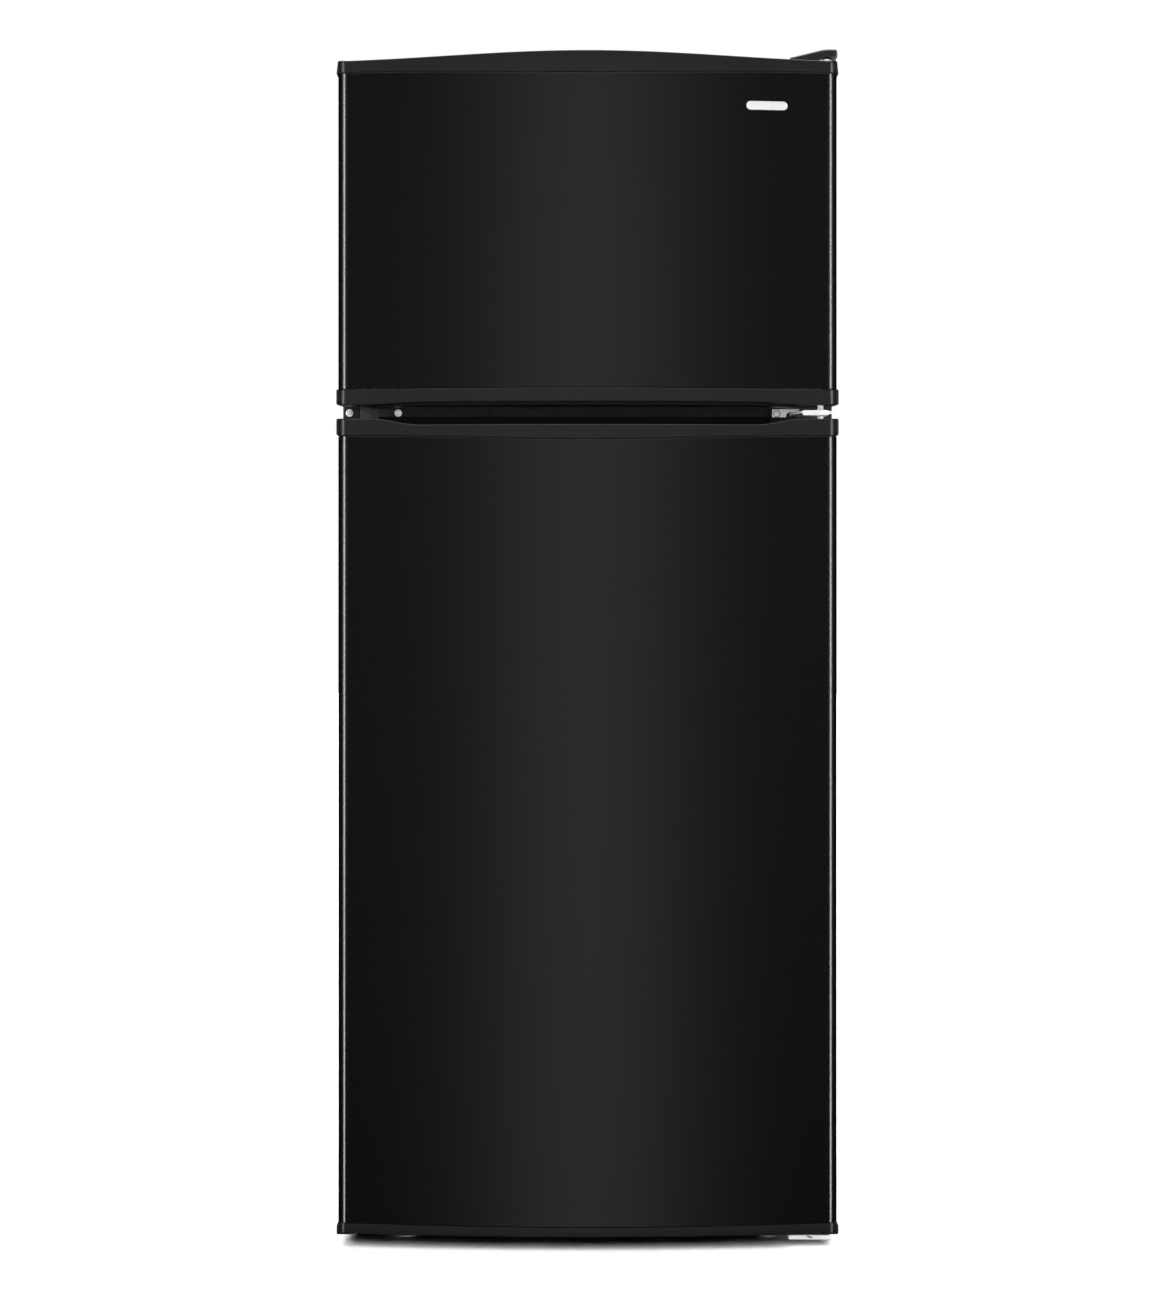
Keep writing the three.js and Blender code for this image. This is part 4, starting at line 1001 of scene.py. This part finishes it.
# ------------------------------------------------------------------ base, legs and rollers
def make_base():
    refine("base_frame", "frame", 0.5)
    refine("toe_grille", "plastic", 0.5)
    for side in ("left", "right"):
        node = f"leveling_leg_{side}"
        top = node_box(node)[1].z
        centre = (*node_centre(node).xy, 0)
        thread = [(0, 8)]
        z = 14.0
        while z < top - 2.4:
            thread += [(4.2, z), (5.0, z + 0.5), (4.2, z + 1.0)]
            z += 1.25
        thread += [(4.2, top - 1.4), (3.4, top), (0, top)]
        pad = [(0, 0), (13.4, 0), (15, 1.4), (15, 4), (13, 6), (8, 7.6), (6, 8), (0, 8)]
        bm = bmesh.new()
        add_turned(bm, pad, centre)
        add_turned(bm, thread, centre, sides=24)
        hexagon = [(0, 7), (8.6, 7), (9, 7.6), (9, 14.2), (8.4, 15), (0, 15)]
        add_turned(bm, hexagon, centre, sides=6)
        place_piece(f"leg_{side}", bm, "plated", node, sharp=30)
    for side, sign in (("left", -1), ("right", 1)):
        node = f"rear_roller_{side}"
        _, y, z = node_centre(node)
        radius = node_box(node)[1].z - z
        centre = (sign * 290, y, z)
        wheel = [(0, -8), (6, -8), (6.4, -7), (8, -5.6), (13, -5.6), (14, -7.6), (radius - 1.2, -8)]
        wheel += [(radius, -6.8), (radius, -1.2), (radius - 0.8, 0)]
        wheel += [(r, -along) for r, along in reversed(wheel[:-1])]
        bm = bmesh.new()
        add_turned(bm, wheel, centre, "x", 48)
        add_turned(bm, [(0, -17), (2.4, -17), (3, -16.4), (3, 16.4), (2.4, 17), (0, 17)], centre, "x", 20)
        place_piece(f"roller_{side}", bm, "plastic", node, sharp=35)


def make_machine_bay():
    """Compressor with a welded seam, on its plate and rubber feet, and the evaporating pan."""
    bm = bmesh.new()
    shell = [
        (0, 41), (60, 41), (72, 46), (80, 55), (84, 72), (84, 108), (86, 109), (86, 113), (84, 114),
        (84, 130), (80, 156), (70, 176), (52, 188), (28, 195), (0, 197),
    ]
    add_turned(bm, shell, (-205, 268, 0), sides=56)
    add_prism(bm, [(x - 205, y + 268) for x, y in rounded(-87, 87, -42, 42, 12)], "z", 38, 42)
    foot = [(0, 30.6), (7, 30.6), (7.6, 33), (6, 35), (7.6, 37), (7, 38.4), (0, 38.4)]
    for x in (-280, -130):
        for y in (238, 298):
            add_turned(bm, foot, (x, y, 0), sides=20)
    add_turned(bm, [(0, 125), (4, 125), (4, 194), (3, 195), (0, 195)], (-160, 300, 0), sides=16)
    place_piece("compressor_shell", bm, "iron", "compressor", sharp=35)

    low, high = node_box("drain_pan")
    outside = [(low.z, 6), (low.z + 0.6, 4), (low.z + 3, 2.4)]
    outside += [(high.z - 3, 0.8), (high.z - 2.6, 0), (high.z, 0)]
    inside = [(high.z, 2.2), (high.z - 3, 2.8), (low.z + 4, 4.6), (low.z + 2.4, 8)]
    bm = bmesh.new()
    add_tub(bm, low.x, high.x, low.y, high.y, outside + inside, 14)
    place_piece("evaporating_pan", bm, "plastic", "drain_pan")


def make_cabinet():
    make_wrapper()
    make_back()
    make_machine_cover()
    make_rail()
    make_hinges()
    make_hinge_cover()
    make_base()
    make_machine_bay()


# ------------------------------------------------------------------ compartments
def compartment(node, name, lip_z, floor, ceiling, ribs, rib_span, hump=None):
    """Formed compartment with soft inside corners: front lip, walls, back, and shelf ribs on its sides."""
    front, corner = CABINET_FRONT, 20
    lip = FLANGE_IN - GAP
    back_turn = 20

    def floor_at(y):
        if not hump:
            return floor
        start, slope, top = hump
        return floor + (top - floor) * smooth(y, start - 8, start + slope + 8)

    rows = [
        upright_loop(lip, *lip_z, front + 2.2, 3),
        upright_loop(lip, *lip_z, front + 0.5, 3),
        upright_loop(lip - 0.5, lip_z[0] + 0.5, lip_z[1] - 0.5, front, 3),
        upright_loop(ROOM + 3.4, floor - 3.4, ceiling + 3.4, front, corner + 3.4),
        upright_loop(ROOM + 1, floor - 1, ceiling + 1, front + 1, corner + 1),
        upright_loop(ROOM, floor, ceiling, front + 3.6, corner),
    ]
    depths = [-100, 50]
    if hump:
        start, slope, _ = hump
        depths += [start - 8 + (slope + 16) * step / 10 for step in range(11)]
    depths += [200, ROOM_BACK - back_turn]
    rows += [upright_loop(ROOM, floor_at(y), ceiling, y, corner) for y in depths]
    for step in range(1, 7):
        a = math.pi / 2 * step / 6
        inset = back_turn * (1 - math.cos(a))
        y = ROOM_BACK - back_turn + back_turn * math.sin(a)
        turn = max(corner - inset, 3)
        rows.append(upright_loop(ROOM - inset, floor_at(y) + inset, ceiling - inset, y, turn))
    bm = bmesh.new()
    add_cup(bm, rows)
    bmesh.ops.reverse_faces(bm, faces=bm.faces)
    place_piece(name, bm, "liner", node, sharp=50, thickness=-2.0)

    bm = bmesh.new()
    y0, y1 = rib_span
    for z, thick in ribs:
        for side in (-1, 1):
            wall, edge = side * (ROOM + 0.8), side * 293
            shoulder = edge + side * 1.4
            section = [(wall, z), (wall, z + thick), (shoulder, z + thick)]
            section += [(edge, z + thick / 2), (shoulder, z)]
            add_prism(bm, section, "y", y0, y1)
    place_piece(f"{name}_ledges", bm, "liner", bevel=0.7)


def make_compartments():
    ribs = [(z, 5) for z in (545, 665, 785, 905, 1025)]
    hump = (HUMP_FRONT, HUMP_SLOPE, HUMP_TOP)
    compartment("food_liner", "food_compartment", (46.8, 1159.7), *FOOD_ROOM, ribs, (-160, 298), hump)
    compartment(
        "freezer_liner", "freezer_compartment", (1222.3, 1656.2), *FREEZER_ROOM, [(1424, 5.5)], (-150, 236),
    )
    refine("evaporator_cover", "liner", 0.6)
    low = node_box("evaporator_cover")[0]
    bm = bmesh.new()
    rows = []
    for inset, proud in [(0, -0.4), (0.3, 1.2), (1.6, 2), (6.4, 2), (8, 1.2), (8.3, -0.4)]:
        rows.append(upright_loop(76 - inset, 1476 + inset, 1566 - inset, low.y - proud, 14 - inset))
    add_band(bm, rows)
    for x in (-270, 270):
        for z in (1300, 1600):
            add_turned(bm, [(0, 0), (6, 0), (5.4, -1.2), (2, -1.8), (0, -1.8)], (x, low.y + 0.2, z), "y", 24)
    place_piece("fan_grille_frame", bm, "trim")


# ------------------------------------------------------------------ shelves and drawers
def glass_plate(node, name):
    low, high = node_box(node)
    bm = bmesh.new()
    outline = rounded(low.x, high.x, low.y, high.y, 5, 5)
    add_prism(bm, outline, "z", low.z, high.z)
    place_piece(name, bm, "glass", node, bevel=0.5)


def shelf_rim(name, node, loops):
    """Flat ring from (inset at the sides, in front and behind, height, corner radius) round its section."""
    low, high = node_box(node)
    rows = []
    for side, front, back, z, radius in loops:
        outline = rounded(side - high.x, high.x - side, low.y + front, high.y - back, radius)
        rows.append([(x, y, z) for x, y in outline])
    bm = bmesh.new()
    add_band(bm, rows)
    place_piece(name, bm, "trim", node)


def make_shelf(shelf):
    """White rim round a glass plate, wider at its sides than in front and behind."""
    low, high = node_box(f"{shelf}_frame")
    z0, z1, rest = low.z, high.z, high.z - 5
    loops = [
        (1, 1, 1, z0, 5), (0, 0, 0, z0 + 1.2, 6), (0, 0, 0, z1 - 2, 6), (0.6, 0.6, 0.6, z1 - 0.6, 5.4),
        (2, 2, 2, z1, 5), (19.6, 14.2, 14.2, z1, 5), (21.3, 15.8, 15.8, z1 - 0.8, 5), (21.5, 16, 16, rest, 5),
        (34.5, 29, 29, rest, 4), (35.5, 30, 30, rest - 1, 4), (35.5, 30, 30, z0, 4),
    ]
    shelf_rim(f"{shelf}_rim", f"{shelf}_frame", loops)
    glass_plate(f"{shelf}_glass", f"{shelf}_plate")


def make_crisper_cover():
    z1 = node_box("crisper_cover_frame")[1].z
    z0, rest = z1 - 16, z1 - 5
    loops = [
        (1, 1, 1, z0, 4), (0, 0, 0, z0 + 1.2, 5), (0, 0, 0, z1 - 2, 5), (0.6, 0.6, 0.6, z1 - 0.6, 5),
        (2, 2, 2, z1, 4), (15.4, 47.6, 10.4, z1, 3), (17.3, 49.8, 11.8, z1 - 0.8, 3), (17.5, 50, 12, rest, 3),
        (34.5, 50.2, 25, rest, 3), (35.5, 38, 26, rest - 1, 3), (35.5, 38, 26, z0, 3),
    ]
    shelf_rim("crisper_cover_rim", "crisper_cover_frame", loops)
    bm = bmesh.new()
    add_block(bm, -5, 5, -172, 59, 134, z0 + 0.5)
    add_block(bm, -14, 14, -172, 60, z0 - 9.5, z0 + 0.5)
    add_block(bm, -14, 14, -144, 291, z0 + 0.2, z0 + 8)
    place_piece("crisper_divider", bm, "trim", bevel=1.2)
    glass_plate("crisper_cover_glass", "crisper_cover_plate")


def make_crisper(side):
    """Clear drawer with a tapered tub, a rolled rim and a full-width pull."""
    node = f"{side}_crisper"
    low, high = node_box(node)
    x0, x1, y1, z0, z1 = low.x, high.x, high.y, low.z, high.z
    front = -168.6
    outside = [
        (z0, 12), (z0 + 1, 8.5), (z0 + 4, 6), (z0 + 9, 5), (z0 + 70, 3.2), (z1 - 12, 1.4), (z1 - 7, 1.2),
        (z1 - 6.4, 0), (z1 - 4, 0),
    ]
    inside = [(z1 - 3.6, 1.0), (z1 - 4, 2.4), (z1 - 12, 3.8), (z0 + 70, 5.6), (z0 + 10, 7.4)]
    inside += [(z0 + 5, 9), (z0 + 2.8, 14)]
    bm = bmesh.new()
    add_tub(bm, x0, x1, front, y1, outside + inside, 16)
    place_piece(f"{node}_tub", bm, "bin", node)

    face = low.y
    # (y, distance below the top)
    pull = [(front + 4, 9), (front + 4, 1), (front + 3, 0), (front - 1.5, 0), (face + 2, 18)]
    pull += [(face + 0.3, 22), (face, 26), (face, 34), (face + 1, 36), (face + 2.4, 35), (face + 2.6, 29)]
    pull += [(front - 1.2, 26), (front + 0.6, 24), (front + 0.6, 9)]
    bm = bmesh.new()
    ends = [(3, 0.5), (4, 0.85), (7, 1)]
    places = [(x0 + x, squeeze) for x, squeeze in ends] + [((x0 + x1) / 2, 1)]
    places += [(x1 - x, squeeze) for x, squeeze in reversed(ends)]
    rows = []
    for x, squeeze in places:
        rows.append([(x, front + 2 + (y - front - 2) * squeeze, z1 - down) for y, down in pull])
    add_loft(bm, rows)
    place_piece(f"{node}_pull", bm, "trim", body=node, bevel=0.4, sharp=30)


def make_freezer_shelf():
    """Coated wire shelf: a round-bar rim, three cross bars and closely spaced wires."""
    low, high = node_box("freezer_shelf")
    z = (low.z + high.z) / 2
    rim = 3.4
    path = [(x, y, z) for x, y in rounded(low.x + rim, high.x - rim, low.y + rim, high.y - rim, 18, 8)]
    bm = bmesh.new()
    add_tube(bm, path, rim, closed=True)
    for y in (-70, 40, 150):
        add_tube(bm, [(low.x + rim, y, z - 1.2), (high.x - rim, y, z - 1.2)], 2.4)
    for x in range(-273, 274, 21):
        add_tube(bm, [(x, low.y + rim, z + 1.8), (x, high.y - rim, z + 1.8)], 1.7, sides=8)
    place_piece("freezer_wire_shelf", bm, "trim", "freezer_shelf", sharp=50)


# ------------------------------------------------------------------ controls and light
def make_controls():
    low, high = node_box("control_housing")
    z0, z1 = low.z, high.z
    outside = [(z1, 0.4), (z1 - 1, 0), (z0 + 8, 1), (z0 + 4, 2), (z0 + 1.6, 4), (z0 + 0.4, 7), (z0, 12)]
    inside = [(z0 + 2.3, 13), (z0 + 3.5, 8), (z0 + 9, 3.6), (z1 - 1, 2.6), (z1, 2.8)]
    bm = bmesh.new()
    add_tub(bm, low.x, high.x, low.y, high.y, outside + inside, 20, 3)
    place_piece("control_box", bm, "trim", "control_housing")

    x, _, z = node_centre("temperature_knob")
    ticks = bmesh.new()
    for step in range(7):
        a = math.radians(210 - 40 * step)
        run, rise = math.cos(a), math.sin(a)
        inner, outer, half = 14.4, 17.4 if step % 3 == 0 else 16.4, 0.5
        corners = [(inner, -half), (inner, half), (outer, half), (outer, -half)]
        outline = [(x + u * run - v * rise, z + u * rise + v * run) for u, v in corners]
        if abs(outline[2][1] - z) < 14.6:
            add_prism(ticks, outline, "y", low.y + 0.6, low.y - 0.3)
    place_piece("dial_marks", ticks, "grey")

    bm = bmesh.new()
    rows = []
    for radius, along in [(12.4, 0), (13, -0.8), (13, -6), (12.6, -7.2), (11.6, -8), (6, -8.2)]:
        ring = []
        for i in range(72):
            flute = 0.35 * math.cos(18 * 2 * math.pi * i / 72) if radius > 12.5 else 0
            r = radius - 0.35 + flute
            a = 2 * math.pi * i / 72
            ring.append((x + r * math.cos(a), low.y - 0.6 + along, z + r * math.sin(a)))
        rows.append(ring)
    add_loft(bm, rows)
    grip_outline = rounded(x - 1.9, x + 1.9, z - 11.6, z + 11.6, 1.8, 5)
    add_prism(bm, grip_outline, "y", low.y - 8, node_box("temperature_knob")[0].y)
    place_piece("temperature_dial", bm, "grey", "temperature_knob", bevel=0.3, sharp=35)

    low, high = node_box("light_bulb")
    bottom = low.z
    glass = [(0, bottom)]
    for step in range(1, 13):
        a = math.pi * 0.78 * step / 12
        glass.append((20.5 * math.sin(a), bottom + 20.5 - 20.5 * math.cos(a)))
    glass += [(11, bottom + 42), (10.4, bottom + 50), (10.4, high.z), (0, high.z)]
    bm = bmesh.new()
    add_turned(bm, glass, (*node_centre("light_bulb").xy, 0), sides=48)
    place_piece("frosted_bulb", bm, "bulb", "light_bulb", sharp=50)
    refine("light_switch", "plastic", 0.4)
    refine("humidity_slide", "grey", 0.5)


def make_inside():
    make_compartments()
    make_shelf("upper_shelf")
    make_shelf("lower_shelf")
    make_crisper_cover()
    make_crisper("left")
    make_crisper("right")
    make_freezer_shelf()
    make_controls()


# ------------------------------------------------------------------ build
make_camera()
make_world()
make_lights()
make_floor(LOOKS["floor"][1])
dress_nodes()
make_cabinet()
make_doors()
make_inside()
